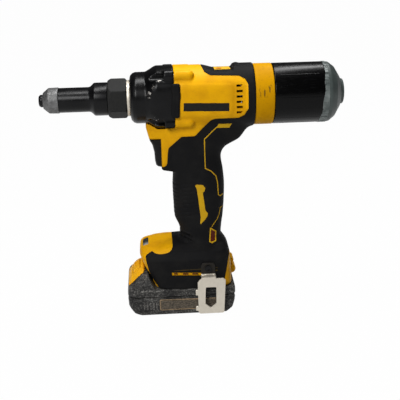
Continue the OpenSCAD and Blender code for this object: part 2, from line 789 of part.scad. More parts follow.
module thrust_bearing() {
  race_t = bearing_t / 3;
  bore = screw_out_r + race_room;
  color(steel) {
    sleeve(bearing_x, bearing_x + race_t, bearing_r, bore);
    sleeve(bearing_x + bearing_t - race_t, bearing_x + bearing_t, bearing_r, bore);
    for (i = [0:ball_count - 1]) on_axis(bearing_x + bearing_t / 2) rotate([0, 0, 360 * i / ball_count])
      translate([(bearing_r + bore) / 2, 0, 0]) sphere(r = ball_r);
  }
}

// Planetary stage: sun on the motor shaft, three planets on the carrier, ring in the gear case
sun_teeth = 16;
planet_teeth = 20;
ring_teeth = sun_teeth + 2 * planet_teeth;
pressure_angle = 20;
backlash = 0.07;
root_share = 1.25;
gear_centre = gear_m * (sun_teeth + planet_teeth) / 2;
pin_r = 2.5;
pin_gap = 0.08;
function involute(a) = tan(a) * 180 / PI - a;
// Half of a tooth's angle at radius r, thinned by slack
function half_tooth(teeth, r, slack) =
  let (rp = gear_m * teeth / 2, rb = rp * cos(pressure_angle), a = acos(min(1, rb / max(r, rb))))
  90 / teeth + involute(pressure_angle) - involute(a) - slack / rp * 180 / PI;
module gear_outline(teeth, root, tip, slack) {
  rp = gear_m * teeth / 2;
  radii = [rp - root * gear_m, rp, rp + tip * gear_m];
  polygon([for (i = [0:teeth - 1]) for (k = [0:5])
    let (r = radii[k < 3 ? k : 5 - k], a = 360 * i / teeth + (k < 3 ? -1 : 1) * half_tooth(teeth, r, slack))
    r * [cos(a), sin(a)]]);
}
module ring_gear() {
  color(dark_steel) on_axis(ring_gear_x) difference() {
    cylinder(h = ring_gear_l, r = ring_gear_r);
    translate([0, 0, -over]) linear_extrude(height = ring_gear_l + 2 * over)
      gear_outline(ring_teeth, 0.8, root_share, -backlash);
  }
}
module planet_gear(turn) {
  color(steel) on_axis(gear_x)
    translate(gear_centre * [cos(turn), sin(turn), 0]) difference() {
      linear_extrude(height = gear_t) gear_outline(planet_teeth, root_share, 1, backlash);
      translate([0, 0, -over]) cylinder(h = gear_t + 2 * over, r = pin_r + pin_gap);
    }
}
module planet_gear_1() {
  planet_gear(0);
}
module planet_gear_2() {
  planet_gear(120);
}
module planet_gear_3() {
  planet_gear(240);
}
module planet_carrier() {
  color(dark_steel) difference() {
    union() {
      bar(carrier_x, carrier_x + carrier_t, carrier_r);
      for (i = [0:2]) on_axis(carrier_x)
        translate(gear_centre * [cos(120 * i), sin(120 * i), 0])
          cylinder(h = gear_x - carrier_x + gear_t, r = pin_r);
    }
    bar(carrier_x - over, carrier_x + carrier_t + over, spindle_r + press_gap);
  }
}

// Hollow motor: shaft with the sun gear, magnets, fan, stator, bearings and front plate
shaft_r = 5;
shaft_bore_r = 3.2;
shaft_inset = 4;
shaft_end = head_end - shaft_inset;
plate_x = ring_gear_x + ring_gear_l + over;
plate_t = 5;
plate_bearing_r = 8;
stator_room = 5.3;
stator_x = plate_x + plate_t + stator_room;
rear_bearing_inset = 11.5;
rear_bearing_x = head_end - rear_bearing_inset;
bearing_room = 3;
fan_room = 3.5;
fan_t = 8;
stator_l = rear_bearing_x - bearing_room - fan_t - fan_room - stator_x;
stator_r = 26.6;
stator_bore_r = 13.6;
magnet_r = 13;
slot_count = 6;
slot_r = 4;
slot_centre = 19;
module rotor_shaft() {
  color(steel) difference() {
    union() {
      on_axis(gear_x) rotate([0, 0, 180 / sun_teeth]) linear_extrude(height = gear_t + gear_room)
        gear_outline(sun_teeth, root_share, 1, backlash);
      bar(gear_x + gear_t, shaft_end, shaft_r);
    }
    bar(gear_x - over, shaft_end + over, shaft_bore_r);
  }
}
module rotor_magnets() {
  color(dark_steel) sleeve(stator_x + over, stator_x + stator_l - over, magnet_r, shaft_r + press_gap);
}
fan_x = stator_x + stator_l + fan_room;
fan_r = 24;
fan_hub_r = 9;
fan_blades = 9;
fan_blade_t = 1.4;
module motor_fan() {
  color(black) difference() {
    union() {
      bar(fan_x, fan_x + fan_blade_t, fan_r);
      bar(fan_x, fan_x + fan_t, fan_hub_r);
      for (i = [0:fan_blades - 1]) on_axis(fan_x) rotate([0, 0, 360 * i / fan_blades])
        translate([fan_hub_r - over, -fan_blade_t / 2, 0])
          cube([fan_r - fan_hub_r, fan_blade_t, fan_t]);
    }
    bar(fan_x - over, fan_x + fan_t + over, shaft_r + press_gap);
  }
}
module motor_stator() {
  color(dark_steel) difference() {
    sleeve(stator_x, stator_x + stator_l, stator_r, stator_bore_r);
    for (i = [0:slot_count - 1]) on_axis(stator_x - over) rotate([0, 0, 360 * i / slot_count])
      translate([slot_centre, 0, 0]) cylinder(h = stator_l + 2 * over, r = slot_r);
  }
}
winding_out = 2.4;
module stator_windings() {
  color(copper) for (i = [0:slot_count - 1])
    on_axis(stator_x - winding_out) rotate([0, 0, 360 * i / slot_count])
      translate([slot_centre, 0, 0]) cylinder(h = stator_l + 2 * winding_out, r = slot_r - seat_gap);
}
module front_bearing() {
  color(steel) sleeve(plate_x, plate_x + plate_t, plate_bearing_r, shaft_r + fit_gap);
}
module motor_plate() {
  color(steel) sleeve(plate_x, plate_x + plate_t, sleeve_r, plate_bearing_r + fit_gap);
}
rear_bearing_r = 10;
rear_bearing_t = 5.5;
module rear_bearing() {
  color(steel) sleeve(rear_bearing_x, rear_bearing_x + rear_bearing_t, rear_bearing_r, shaft_r + fit_gap);
}

// Guide tube for snapped mandrels, held by the rear collar and led through screw and motor
guide_tube_r = 2.8;
guide_tube_bore = 2.3;
guide_tube_front = screw_front + over;
module mandrel_tube() {
  color(steel) sleeve(guide_tube_front, head_end + boss_r, guide_tube_r, guide_tube_bore);
}

// Rear collar: yellow ring with a web, which holds the rear bearing and takes the canister
ring_bore_r = 28.7;
web_t = 4;
hub_r = 13;
module rear_collar() {
  seat_end = rear_bearing_x + rear_bearing_t;
  color(yellow) difference() {
    union() {
      sleeve(head_end, ring_end, ring_r, ring_bore_r);
      bar(head_end, head_end + web_t, ring_bore_r + over);
      bar(rear_bearing_x, head_end + web_t, hub_r);
    }
    bar(rear_bearing_x - over, seat_end, rear_bearing_r + fit_gap);
    bar(seat_end - over, shaft_end + over, shaft_r + slide_gap);
    bar(seat_end, head_end + web_t + over, guide_tube_r + press_gap);
  }
}

// Mandrel canister with its seal and end cap, which pulls off to the rear
canister_r = 31.2;
canister_wall = 3;
canister_gap = 0.3;
canister_x = ring_end + canister_gap;
canister_end = canister_x + canister_l;
canister_spigot_r = ring_bore_r - canister_gap;
canister_spigot_l = 13;
seal_r = 1;
seal_x = canister_x - canister_spigot_l / 2;
rib_count = 16;
rib_r = 0.5;
module canister() {
  inner = canister_spigot_r - canister_wall;
  color(black) difference() {
    turned([[inner, canister_x - canister_spigot_l], [canister_spigot_r, canister_x - canister_spigot_l],
      [canister_spigot_r, canister_x], [canister_r, canister_x], [canister_r, canister_end],
      [canister_r - canister_wall, canister_end], [canister_r - canister_wall, canister_x + canister_wall],
      [inner, canister_x]]);
    on_axis(seal_x) rotate_extrude() translate([canister_spigot_r - seal_r + seat_gap / 2, 0])
      square(2 * seal_r + seat_gap, center = true);
    for (i = [0:rib_count - 1]) on_axis(canister_x + 2 * canister_wall)
      rotate([0, 0, 360 * (i + 0.5) / rib_count]) translate([canister_r, 0, 0])
        cylinder(h = canister_l - 4 * canister_wall, r = rib_r, $fn = 16);
  }
}
module canister_seal() {
  color(rubber) on_axis(seal_x) rotate_extrude()
    translate([canister_spigot_r - seal_r + split_gap / 2, 0]) circle(r = seal_r, $fn = 16);
}
cap_shares = [[1, 0], [0.99, 0.28], [0.82, 0.55], [0.475, 0.82], [0.36, 0.87], [0.34, 1]];
cap_wall = 2.5;
cap_spigot_l = 8;
module end_cap() {
  seat = canister_r - canister_wall - seat_gap;
  color(smoke) turned(concat(
    [[seat - cap_wall, canister_end - cap_spigot_l], [seat, canister_end - cap_spigot_l],
     [seat, canister_end]],
    [for (s = cap_shares) [s[0] * canister_r, canister_end + s[1] * cap_l]],
    [[0, canister_end + cap_l], [0, canister_end + cap_l - cap_wall],
     [cap_shares[4][0] * canister_r, canister_end + cap_shares[3][1] * cap_l - cap_wall],
     [seat - cap_wall, canister_end + cap_shares[1][1] * cap_l]]));
}

// Trigger with its stem and return spring, and the switch behind it
trigger_shares = [[0, 1], [0.06, 0.93], [0.20, 0.78], [0.30, 0.52], [0.33, 0.20], [0.39, 0.05], [0.46, 0],
  [1, 0], [1, 1]];
stem_r = 2.5;
stem_l = 13;
stem_z_share = 0.62;
spring_pocket = 8;
trigger_wire = 0.8;
spring_out_r = stem_r + slide_gap + 1.5 * trigger_wire;
trigger_round = 6;
stem_z = trigger_z + stem_z_share * trigger_h;
module trigger() {
  color(black) {
    difference() {
      trigger_form();
      translate([trigger_back - spring_pocket, 0, stem_z]) rotate([0, 90, 0])
        cylinder(h = spring_pocket + over, r = spring_out_r + slide_gap);
    }
    translate([trigger_back - spring_pocket, 0, stem_z]) rotate([0, 90, 0])
      cylinder(h = spring_pocket + stem_l, r = stem_r);
  }
}
module trigger_form() {
  intersection() {
    side_plate(trigger_w)
      polygon([for (s = trigger_shares) [trigger_front + s[0] * trigger_d, trigger_z + s[1] * trigger_h]]);
    translate([0, 0, trigger_z]) linear_extrude(height = trigger_h) {
      translate([trigger_front + trigger_round, -trigger_w / 2]) square([trigger_d, trigger_w]);
      translate([trigger_front, trigger_round - trigger_w / 2])
        square([trigger_d, trigger_w - 2 * trigger_round]);
      for (side = [-1, 1])
        translate([trigger_front + trigger_round, side * (trigger_w / 2 - trigger_round)])
          circle(r = trigger_round);
    }
  }
}
trigger_turns = 6;
module trigger_spring() {
  length = switch_low[0] - trigger_back + spring_pocket - slide_gap;
  color(steel) translate([trigger_back - spring_pocket + slide_gap / 2, 0, stem_z]) rotate([0, 90, 0])
    coil(spring_out_r - trigger_wire / 2, trigger_wire, length, trigger_turns);
}
module trigger_switch() {
  color(black) difference() {
    block(switch_low, switch_high);
    translate([switch_low[0] - over, 0, stem_z]) rotate([0, 90, 0])
      cylinder(h = stem_l + trigger_travel + over, r = stem_r + slide_gap);
  }
}

// Control module in the grip: potted board with cooling ribs
fin_count = 9;
fin_d = 2;
module control_module() {
  pitch = (module_high[2] - module_low[2]) / (fin_count + 0.5);
  color(board_green) difference() {
    block(module_low, module_high);
    for (i = [0:fin_count - 1], side = [-1, 1])
      translate([module_low[0] - over, side * module_high[1] - fin_d, module_low[2] + (i + 0.5) * pitch])
        cube([module_high[0] - module_low[0] + 2 * over, 2 * fin_d, pitch / 2]);
  }
}
module light_lens() {
  color(clear) intersection() {
    loft(foot_rows, 0);
    block(lens_low, lens_high);
  }
}

// Terminals of the tool at the back of the pack bay
blade_count = 4;
blade_t = 1;
blade_w = 6;
blade_l = 11;
blade_pitch = 10;
blade_rise = 9;
module terminal_block() {
  color(black) difference() {
    block([bay_back - terminal_l, -tower_w / 3, rail_z[0]], [bay_back, tower_w / 3, bay_top]);
    blade_places()
      cube([4 * terminal_l, blade_t + 2 * seat_gap, blade_w + 2 * seat_gap], center = true);
  }
}
module blade_places() {
  for (i = [0:blade_count - 1])
    translate([bay_back - terminal_l, (i - (blade_count - 1) / 2) * blade_pitch, pack_h + blade_rise])
      children();
}
module terminal_blades() {
  color(copper) blade_places() translate([-blade_l, -blade_t / 2, -blade_w / 2])
    cube([blade_l + terminal_l - seat_gap, blade_t, blade_w]);
}

// Belt hook: bent steel strip with a window, screwed to the side of the foot
hook_plate = [31.5, 40];
hook_plate_z = 4;
hook_shift = 1.5;
hook_round = 4;
window_shares = [[-0.16, 0.74], [0.20, 0.74], [0.18, 0.26], [0, 0.16], [-0.18, 0.26]];
module belt_hook() {
  face = foot_w / 2 + split_gap;
  top = hook_plate_z + hook_plate[1];
  color(worn_zinc) difference() {
    union() {
      translate([hook_x + hook_shift, -face - hook_gap - hook_t / 2, 0]) rotate([90, 0, 0])
        linear_extrude(height = hook_t, center = true) difference() {
          union() {
            translate([-hook_plate[0] / 2, hook_plate_z + hook_round])
              square([hook_plate[0], hook_plate[1] - hook_round]);
            translate([-hook_plate[0] / 2 + hook_round, hook_plate_z])
              square([hook_plate[0] - 2 * hook_round, hook_plate[1]]);
            for (side = [-1, 1])
              translate([side * (hook_plate[0] / 2 - hook_round), hook_plate_z + hook_round])
                circle(r = hook_round);
          }
          polygon([for (s = window_shares) [s[0] * hook_plate[0], hook_plate_z + s[1] * hook_plate[1]]]);
        }
      block([hook_x - hook_tab_w / 2, -face - hook_gap - hook_t, top - film],
            [hook_x + hook_tab_w / 2, -face, top + hook_t]);
      block([hook_x - hook_tab_w / 2, -face - hook_t, top],
            [hook_x + hook_tab_w / 2, -face, hook_tab_top]);
    }
    hook_seat();
  }
}
module belt_hook_screw() {
  face = foot_w / 2 + split_gap + hook_t;
  color(dark_steel) translate([hook_x, -face, hook_screw_z]) rotate([-90, 0, 0])
    difference() {
      union() {
        translate([0, 0, -screw_head_t]) cylinder(h = screw_head_t, r = screw_head_r);
        cylinder(h = hook_screw_l, r = hook_screw_r);
      }
      translate([0, 0, -screw_head_t - over]) cylinder(h = over + screw_r / 2, r = screw_r, $fn = 6);
    }
}

// Battery pack: lower case, upper case with the guide tower, front cap, cells and straps
hump_l = 27.4;
pack_round = 12;
pack_top_t = 8;
pack_split = pack_h - pack_top_t;
pack_wall = 3;
cell_l = 65;
cell_count = 5;
cell_end_room = 10.25;
cell_gap = 0.4;
cell_pitch = (pack_l - 2 * cell_end_room) / cell_count;
cell_r = cell_pitch / 2 - cell_gap;
cell_mid_share = 0.5074;
cell_mid = pack_x + cell_mid_share * pack_l;
cell_z = pack_wall + cell_r + seat_gap;
pack_side_shares = [[0.126, 0], [0.95, 0], [0.99, 0.34], [1, 0.67], [0.998, 1], [0.25, 1]];
// Outline of the hump, in shares of the hump's length and height
hump_shares = [[1, 0.557], [0.606, 1], [0.295, 0.875], [0.131, 0.72], [0.017, 0.51], [0, 0.324],
  [0.038, 0.245], [0.35, 0.08]];
cap_line_shares = [[-0.4, 0.55], [0.02, 0.55], [0.40, 0.76], [0.63, 0.97], [0.63, 1.1], [-0.4, 1.1]];
function hump_point(s) = [pack_x + s[0] * hump_l, s[1] * hump_h];
module pack_outline() {
  polygon(concat([for (s = pack_side_shares) [pack_x + s[0] * pack_l, s[1] * pack_h]],
                 [for (s = hump_shares) hump_point(s)]));
}
module pack_form() {
  intersection() {
    side_plate(pack_w) pack_outline();
    linear_extrude(height = hump_h + over) {
      translate([pack_x + pack_round, -pack_w / 2]) square([pack_l - 1.5 * pack_round, pack_w]);
      translate([pack_x, pack_round - pack_w / 2]) square([pack_l, pack_w - 2 * pack_round]);
      for (side = [-1, 1]) {
        translate([pack_x + pack_round, side * (pack_w / 2 - pack_round)]) circle(r = pack_round);
        translate([pack_x + pack_l - pack_round / 2, side * (pack_w - pack_round) / 2])
          circle(r = pack_round / 2);
        translate([pack_x + pack_l - pack_round, side * (pack_w / 2 - 3 * pack_round / 4) - pack_round / 4])
          square([pack_round, pack_round / 2]);
      }
    }
  }
}
module cap_form() {
  side_plate(pack_w + over) polygon([for (s = cap_line_shares) hump_point(s)]);
}
module cell_room() {
  half = (cell_count - 1) / 2 * cell_pitch + cell_r + seat_gap;
  block([cell_mid - half, -cell_l / 2 - strap_t - seat_gap, pack_wall],
        [cell_mid + half, cell_l / 2 + strap_t + seat_gap, pack_wall + 2 * cell_r + 2 * seat_gap]);
}
strap_t = 0.5;
front_screw_shares = [0.259, 0.36];
rear_screw_share = 0.373;
pack_screw_inset = 5.4;
pack_head_r = 3;
module at_pack_screws() {
  for (side = [-1, 1]) {
    translate([pack_x + front_screw_shares[0] * hump_l, side * front_screw_shares[1] * pack_w, 0])
      children();
    translate([pack_x + pack_l - pack_screw_inset, side * rear_screw_share * pack_w, 0]) children();
  }
}
pack_screw_seat = 12;
pack_screw_l = 14;
module pack_screw_holes() {
  at_pack_screws() {
    translate([0, 0, -over]) cylinder(h = over + pack_screw_seat, r = pack_head_r + seat_gap);
    translate([0, 0, pack_screw_seat]) cylinder(h = pack_screw_l + seat_gap, r = screw_r + seat_gap / 2);
  }
}
module pack_screws() {
  color(dark_steel) at_pack_screws() translate([0, 0, pack_screw_seat]) difference() {
    union() {
      translate([0, 0, -screw_head_t]) cylinder(h = screw_head_t, r = pack_head_r);
      cylinder(h = pack_screw_l, r = screw_r);
    }
    translate([0, 0, -screw_head_t - over]) cylinder(h = over + screw_r / 2, r = screw_r, $fn = 6);
  }
}
module pack_lower_case() {
  color(black) difference() {
    pack_form();
    block([pack_x - over, -pack_w, pack_split], [pack_x + pack_l + over, pack_w, hump_h + over]);
    cap_form();
    cell_room();
    pack_screw_holes();
  }
}
slot_w = 2;
module pack_upper_case() {
  tower_half = tower_w / 2;
  color(black) difference() {
    union() {
      difference() {
        pack_form();
        block([pack_x - over, -pack_w, -over], [pack_x + pack_l + over, pack_w, pack_split]);
        cap_form();
      }
      block([tower_front, -tower_half, pack_h - over], [tower_back, tower_half, tower_z]);
    }
    for (side = [-1, 1]) mirror([0, side < 0 ? 1 : 0, 0])
      block([tower_front - over, tower_half - rail_depth, rail_z[0] - slide_gap],
            [tower_back + over, tower_half + over, rail_z[1] + slide_gap]);
    blade_places() translate([-blade_l - over, -slot_w / 2, -blade_w / 2 - slide_gap])
      cube([blade_l + terminal_l, slot_w, blade_w + 2 * slide_gap]);
    cell_room();
    button_pocket();
    pack_screw_holes();
  }
}
module pack_front_cap() {
  color(yellow) difference() {
    intersection() {
      pack_form();
      cap_form();
    }
    button_pocket();
    pack_screw_holes();
  }
}
module at_cells() {
  for (i = [0:cell_count - 1])
    translate([cell_mid + (i - (cell_count - 1) / 2) * cell_pitch, 0, cell_z])
      rotate([90, 0, 0]) children();
}
module pack_cells() {
  color(board_green) at_cells() cylinder(h = cell_l, r = cell_r, center = true);
}
// Nickel straps join the cells in series, so they step along the two ends of the row
strap_w = 8;
module cell_straps() {
  color(steel) for (side = [-1, 1], i = [side < 0 ? 0 : 1:2:cell_count - 2])
    translate([cell_mid + (i + 0.5 - (cell_count - 1) / 2) * cell_pitch, side * (cell_l + strap_t) / 2,
               cell_z])
      cube([cell_pitch + strap_w, strap_t, strap_w], center = true);
}

// Release button in the pack's front cap, with its spring
button_size = [7.5, 26, 18];
button_inset = 6.6;
button_drop = 16;
button_low = [pack_x + button_inset, -button_size[1] / 2, hump_h - button_drop];
button_high = button_low + button_size;
button_proud = 0.8;
button_room = 6;
button_floor = button_low[2] - button_room;
module button_pocket() {
  block([button_low[0] - slide_gap, button_low[1] - slide_gap, button_floor],
        [button_high[0] + slide_gap, button_high[1] + slide_gap, button_high[2]]);
}
button_ribs = 4;
button_rib_r = 0.6;
button_margin = 2;
module release_button() {
  color(black) difference() {
    intersection() {
      block(button_low, button_high);
      translate([0, 0, button_proud]) side_plate(pack_w) pack_outline();
    }
    for (i = [0:button_ribs - 1])
      let (t = (i + 1 / 2) / (button_ribs + 2),
           p = hump_point(hump_shares[2] + t * (hump_shares[1] - hump_shares[2])))
        translate([p[0], 0, p[1] + button_proud]) rotate([90, 0, 0])
          cylinder(h = button_size[1] - 2 * button_margin, r = button_rib_r, center = true, $fn = 16);
  }
}
button_wire = 0.7;
button_turns = 3;
button_coil_r = 2.4;
module button_spring() {
  length = button_low[2] - button_floor - slide_gap;
  color(steel) translate([(button_low[0] + button_high[0]) / 2, 0, button_floor + slide_gap / 2])
    coil(button_coil_r, button_wire, length, button_turns);
}

left_housing();
right_housing();
left_overmold();
right_overmold();
housing_screws();
gear_case();
gear_case_screws();
side_bumpers();
top_inlay();
lock_ring();
hex_nut();
nose_housing();
nose_cone();
nosepiece();
thrust_bearing();
ring_gear();
motor_plate();
front_bearing();
motor_stator();
stator_windings();
rear_bearing();
mandrel_tube();
rear_collar();
trigger_switch();
control_module();
light_lens();
terminal_block();
terminal_blades();
belt_hook();
belt_hook_screw();
jaw_case();
pull_tube();
screw_nut();
jaw_pusher();
jaw_spring();
jaw_1();
jaw_2();
jaw_3();
ball_screw();
planet_carrier();
planet_gear_1();
planet_gear_2();
planet_gear_3();
rotor_shaft();
rotor_magnets();
motor_fan();
trigger();
trigger_spring();
canister();
canister_seal();
end_cap();
pack_lower_case();
pack_upper_case();
pack_front_cap();
pack_cells();
cell_straps();
pack_screws();
release_button();
button_spring();
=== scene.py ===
import json
import math

import bmesh
import bpy
import numpy as np

from mathutils import Matrix, Vector


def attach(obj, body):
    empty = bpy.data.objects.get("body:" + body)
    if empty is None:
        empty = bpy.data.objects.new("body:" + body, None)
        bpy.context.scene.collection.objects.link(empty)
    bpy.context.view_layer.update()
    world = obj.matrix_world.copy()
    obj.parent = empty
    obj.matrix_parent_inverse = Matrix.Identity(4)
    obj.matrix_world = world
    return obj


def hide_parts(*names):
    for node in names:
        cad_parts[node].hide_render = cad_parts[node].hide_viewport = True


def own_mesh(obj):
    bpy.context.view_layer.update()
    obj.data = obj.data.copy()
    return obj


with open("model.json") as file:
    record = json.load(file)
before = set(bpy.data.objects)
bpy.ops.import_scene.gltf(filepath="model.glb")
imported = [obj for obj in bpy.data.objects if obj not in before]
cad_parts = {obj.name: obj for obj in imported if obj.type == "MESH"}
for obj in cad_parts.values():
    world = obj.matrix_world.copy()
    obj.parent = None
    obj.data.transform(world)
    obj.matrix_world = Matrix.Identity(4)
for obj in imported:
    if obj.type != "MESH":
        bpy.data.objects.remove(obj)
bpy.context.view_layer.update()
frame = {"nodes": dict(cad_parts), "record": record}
scene = bpy.context.scene
mm = 0.001

# Housing halves: head, grip and foot, moulded in yellow glass filled nylon and screwed together along
# the middle of the tool. Every form below is a distance in millimetres, negative inside the piece, so
# fillets and blends come from soft minima and maxima. The air slots are cut through the wall.
axis_z = 228.0
head_r, head_flat, head_front, head_back = 32.5, 29.0, -2.0, 80.0
# Rows of the grip and foot: height, front, back, half width, and how square the section is
body_rows = np.array([
    [29.4, -30.0, 54.5, 38.0, 5.0], [60.5, -43.0, 53.3, 37.05, 4.5], [67.5, -42.6, 51.0, 32.8, 4.0],
    [71.3, -37.0, 49.4, 27.0, 3.2], [73.4, -22.0, 48.2, 23.0, 2.8], [74.6, -4.0, 47.4, 21.0, 2.7],
    [79.0, 1.0, 44.6, 19.8, 2.5], [89.3, -0.4, 45.2, 19.2, 2.5], [99.8, -4.7, 46.8, 18.6, 2.5],
    [114.9, -5.6, 48.2, 19.0, 2.5], [135.1, -6.0, 48.9, 19.4, 2.5], [149.9, -5.5, 47.8, 18.6, 2.5],
    [166.0, -10.1, 46.0, 17.7, 2.5], [174.9, -11.9, 51.0, 17.1, 2.5], [183.2, -14.0, 65.8, 17.1, 2.6],
    [195.0, -16.0, 73.9, 17.9, 2.8], [211.0, -16.8, 78.2, 19.0, 3.0]])
boss_places = [(-24.4, 21.1), (22.75, 21.1)]
chin_outline = [
    (-32.2, 199.0), (-28.9, 185.5), (-16.9, 185.3), (-16.9, 153.8), (-14.9, 152.2), (-6, 150.6),
    (6, 152.2), (6, 203), (-31, 203)]


def soft_max(a, b, r):
    h = np.clip(0.5 + 0.5 * (a - b) / r, 0, 1)
    return b + (a - b) * h + r * h * (1 - h)


def soft_min(a, b, r):
    return -soft_max(-a, -b, r)


def edge_distance(points, x, z):
    """Distance in side view to a line through the points."""
    p = np.asarray(points, float)
    near = np.full(np.broadcast(x, z).shape, np.inf)
    for a, b in zip(p[:-1], p[1:]):
        e = b - a
        t = np.clip(((x - a[0]) * e[0] + (z - a[1]) * e[1]) / (e @ e), 0, 1)
        near = np.minimum(near, (x - a[0] - t * e[0]) ** 2 + (z - a[1] - t * e[1]) ** 2)
    return np.sqrt(near)


def outline_distance(points, x, z):
    """Distance in side view to a closed outline, negative inside it."""
    p = np.asarray(points, float)
    inside = np.zeros(np.broadcast(x, z).shape, bool)
    for a, b in zip(p, np.roll(p, -1, 0)):
        if a[1] != b[1]:
            inside ^= ((a[1] <= z) != (b[1] <= z)) & (x < a[0] + (z - a[1]) * (b - a)[0] / (b - a)[1])
    return np.where(inside, -1, 1) * edge_distance(np.concatenate([p, p[:1]]), x, z)


def grip_and_foot(x, y, z):
    heights = body_rows[:, 0]
    i = np.clip(np.searchsorted(heights, z) - 1, 0, len(body_rows) - 2)
    t = np.clip((z - heights[i]) / (heights[i + 1] - heights[i]), 0, 1)[..., None]
    last = len(body_rows) - 1
    a, b, c, d = (body_rows[np.clip(i + k, 0, last)] for k in (-1, 0, 1, 2))
    row = b + t * ((c - a) + t * ((2 * a - 5 * b + 4 * c - d) + t * (3 * b - a - 3 * c + d))) / 2
    front, back, half_w, n = (row[..., k] for k in (1, 2, 3, 4))
    u, v = np.abs(x - (front + back) / 2) / ((back - front) / 2), np.abs(y) / half_w
    g = np.maximum((u ** n + v ** n) ** (1 / n), 1e-3)
    side = (1 - 1 / g) * np.maximum(np.hypot(x - (front + back) / 2, y), 8.0)
    return soft_max(soft_max(side, heights[0] - z, 1.5), z - heights[-1], 1.0)


def head(x, y, z):
    rise = z - axis_z
    flat = head_flat + 4.0 * np.clip((x - 71.0) / 2.0, 0, 1)
    d = soft_max(np.hypot(y, rise) - head_r, np.abs(y) - flat, 3.0)
    top = np.interp(x, [24.0, 25.5, 39.0, 58.5, 60.0, 61.0], [90, 32.7, 27.4, 27.4, 33.5, 90])
    d = soft_max(d, rise - top, 2.0)
    d = soft_min(d, soft_max(np.hypot(x - 63.6, rise - 27.3) - 5.0, np.abs(y) - 11.0, 2.0), 1.0)
    d = np.maximum(d, rise - head_r + 0.05)
    return soft_max(soft_max(d, head_front - x, 1.2), x - head_back, 1.6)


def body(x, y, z):
    d = soft_min(head(x, y, z), grip_and_foot(x, y, z), 7.0)
    d = soft_min(d, soft_max(outline_distance(chin_outline, x, z), np.abs(y) - 12.2, 3.0), 3.0)
    for drop, out in boss_places:
        along = np.clip(x, head_front, 13.0) - x
        boss = np.sqrt(along ** 2 + (np.abs(y) - out) ** 2 + (z - axis_z + drop) ** 2) - 6.0
        d = soft_min(d, soft_max(boss, head_front - x, 0.8), 1.2)
    for rise, r in ((38.2, 5.5), (48.4, 3.4)):
        d = soft_min(d, soft_max(np.hypot(x - 54.5, z - rise) - r, np.abs(y) - 9.0, 1.5), 1.5)
    case = np.interp(x, [-46, -30, -19.8, -2.0, -1.9], [26.7, 26.7, 32.8, 32.8, 0.0])
    cover = soft_max(np.hypot(y, z - axis_z) - case, np.abs(y) - 29.3, 1.0)
    return np.maximum(d, np.where(x < head_front, -cover, -1e3))


def skin(form, low, high, step):
    """Points and faces of the surface where form is zero, drawn through a grid of cells."""
    axes = [np.arange(a, b + step, step) for a, b in zip(low, high)]
    size = tuple(len(a) for a in axes)
    f = np.broadcast_to(form(*np.meshgrid(*axes, indexing="ij", sparse=True)), size)
    inside, n = f < 0, np.array(size) - 1
    corners = np.array([(i, j, k) for i in (0, 1) for j in (0, 1) for k in (0, 1)])
    count = sum(inside[i:i + n[0], j:j + n[1], k:k + n[2]].astype(np.int8) for i, j, k in corners)
    live = (count > 0) & (count < 8)
    number = np.cumsum(live).reshape(live.shape) - 1
    cells = np.argwhere(live)
    total, hits = np.zeros((len(cells), 3)), np.zeros(len(cells))
    faces = []
    for axis in range(3):
        unit = np.eye(3, dtype=int)[axis]
        for offset in corners[corners[:, axis] == 0]:
            a = cells + offset
            fa, fb = f[tuple(a.T)], f[tuple((a + unit).T)]
            cross = (fa < 0) != (fb < 0)
            t = fa[cross] / (fa[cross] - fb[cross])
            total[cross] += a[cross] + t[:, None] * unit
            hits[cross] += 1
        u, v = np.eye(3, dtype=int)[(axis + 1) % 3], np.eye(3, dtype=int)[(axis + 2) % 3]
        lower, upper = (np.take(inside, np.arange(k, n[axis] + k), axis) for k in (0, 1))
        edges = np.argwhere(lower != upper)
        edges = edges[(edges @ u > 0) & (edges @ v > 0) & (edges @ u < n @ u) & (edges @ v < n @ v)]
        quad = np.stack([number[tuple((edges - o).T)] for o in (u + v, v, 0 * u, u)], 1)
        faces.append(np.where(lower[tuple(edges.T)][:, None], quad, quad[:, ::-1]))
    points = np.array(low) + step * total / hits[:, None]
    for _ in range(3):
        slope = np.stack([form(*(points + e).T) - form(*(points - e).T) for e in np.eye(3) * 0.04], 1) / 0.08
        move = form(*points.T) / np.maximum((slope ** 2).sum(1), 0.05)
        points = points - np.clip(move[:, None] * slope, -step, step)
    return points, np.concatenate(faces)


def placed(name, data):
    """A new object in the scene."""
    obj = bpy.data.objects.new(name, data)
    scene.collection.objects.link(obj)
    return obj


def solid(name, points, faces):
    """A mesh object from points in millimetres."""
    mesh = bpy.data.meshes.new(name)
    mesh.from_pydata((np.asarray(points) * mm).tolist(), [], [list(map(int, f)) for f in faces])
    mesh.validate()
    return placed(name, mesh)


def formed(name, form, low, high, step):
    """A mesh object of the surface of a form."""
    return solid(name, *skin(form, low, high, step))


def plain_mesh(obj):
    """Turns what the object's modifiers make into its own mesh, and takes them off."""
    made = bpy.data.meshes.new_from_object(obj.evaluated_get(bpy.context.evaluated_depsgraph_get()))
    obj.modifiers.clear()
    obj.data = made
    return obj


def carve(obj, tool, operation="DIFFERENCE"):
    step = obj.modifiers.new("carve", "BOOLEAN")
    step.operation, step.solver, step.object = operation, "EXACT", tool
    plain_mesh(obj)
    bpy.data.objects.remove(tool)
    return obj


def prism(outline, y_low, y_high):
    """A plate whose outline is seen from the side, between two places across the tool."""
    n = len(outline)
    points = [(x, y, z) for y in (y_low, y_high) for x, z in outline]
    faces = [list(range(n)), list(range(2 * n - 1, n - 1, -1))]
    faces += [[i, n + i, n + (i + 1) % n, (i + 1) % n] for i in range(n)]
    if sum(a[0] * b[1] - b[0] * a[1] for a, b in zip(outline, outline[1:] + outline[:1])) < 0:
        faces = [f[::-1] for f in faces]
    return solid("tool_for_cut", points, faces)


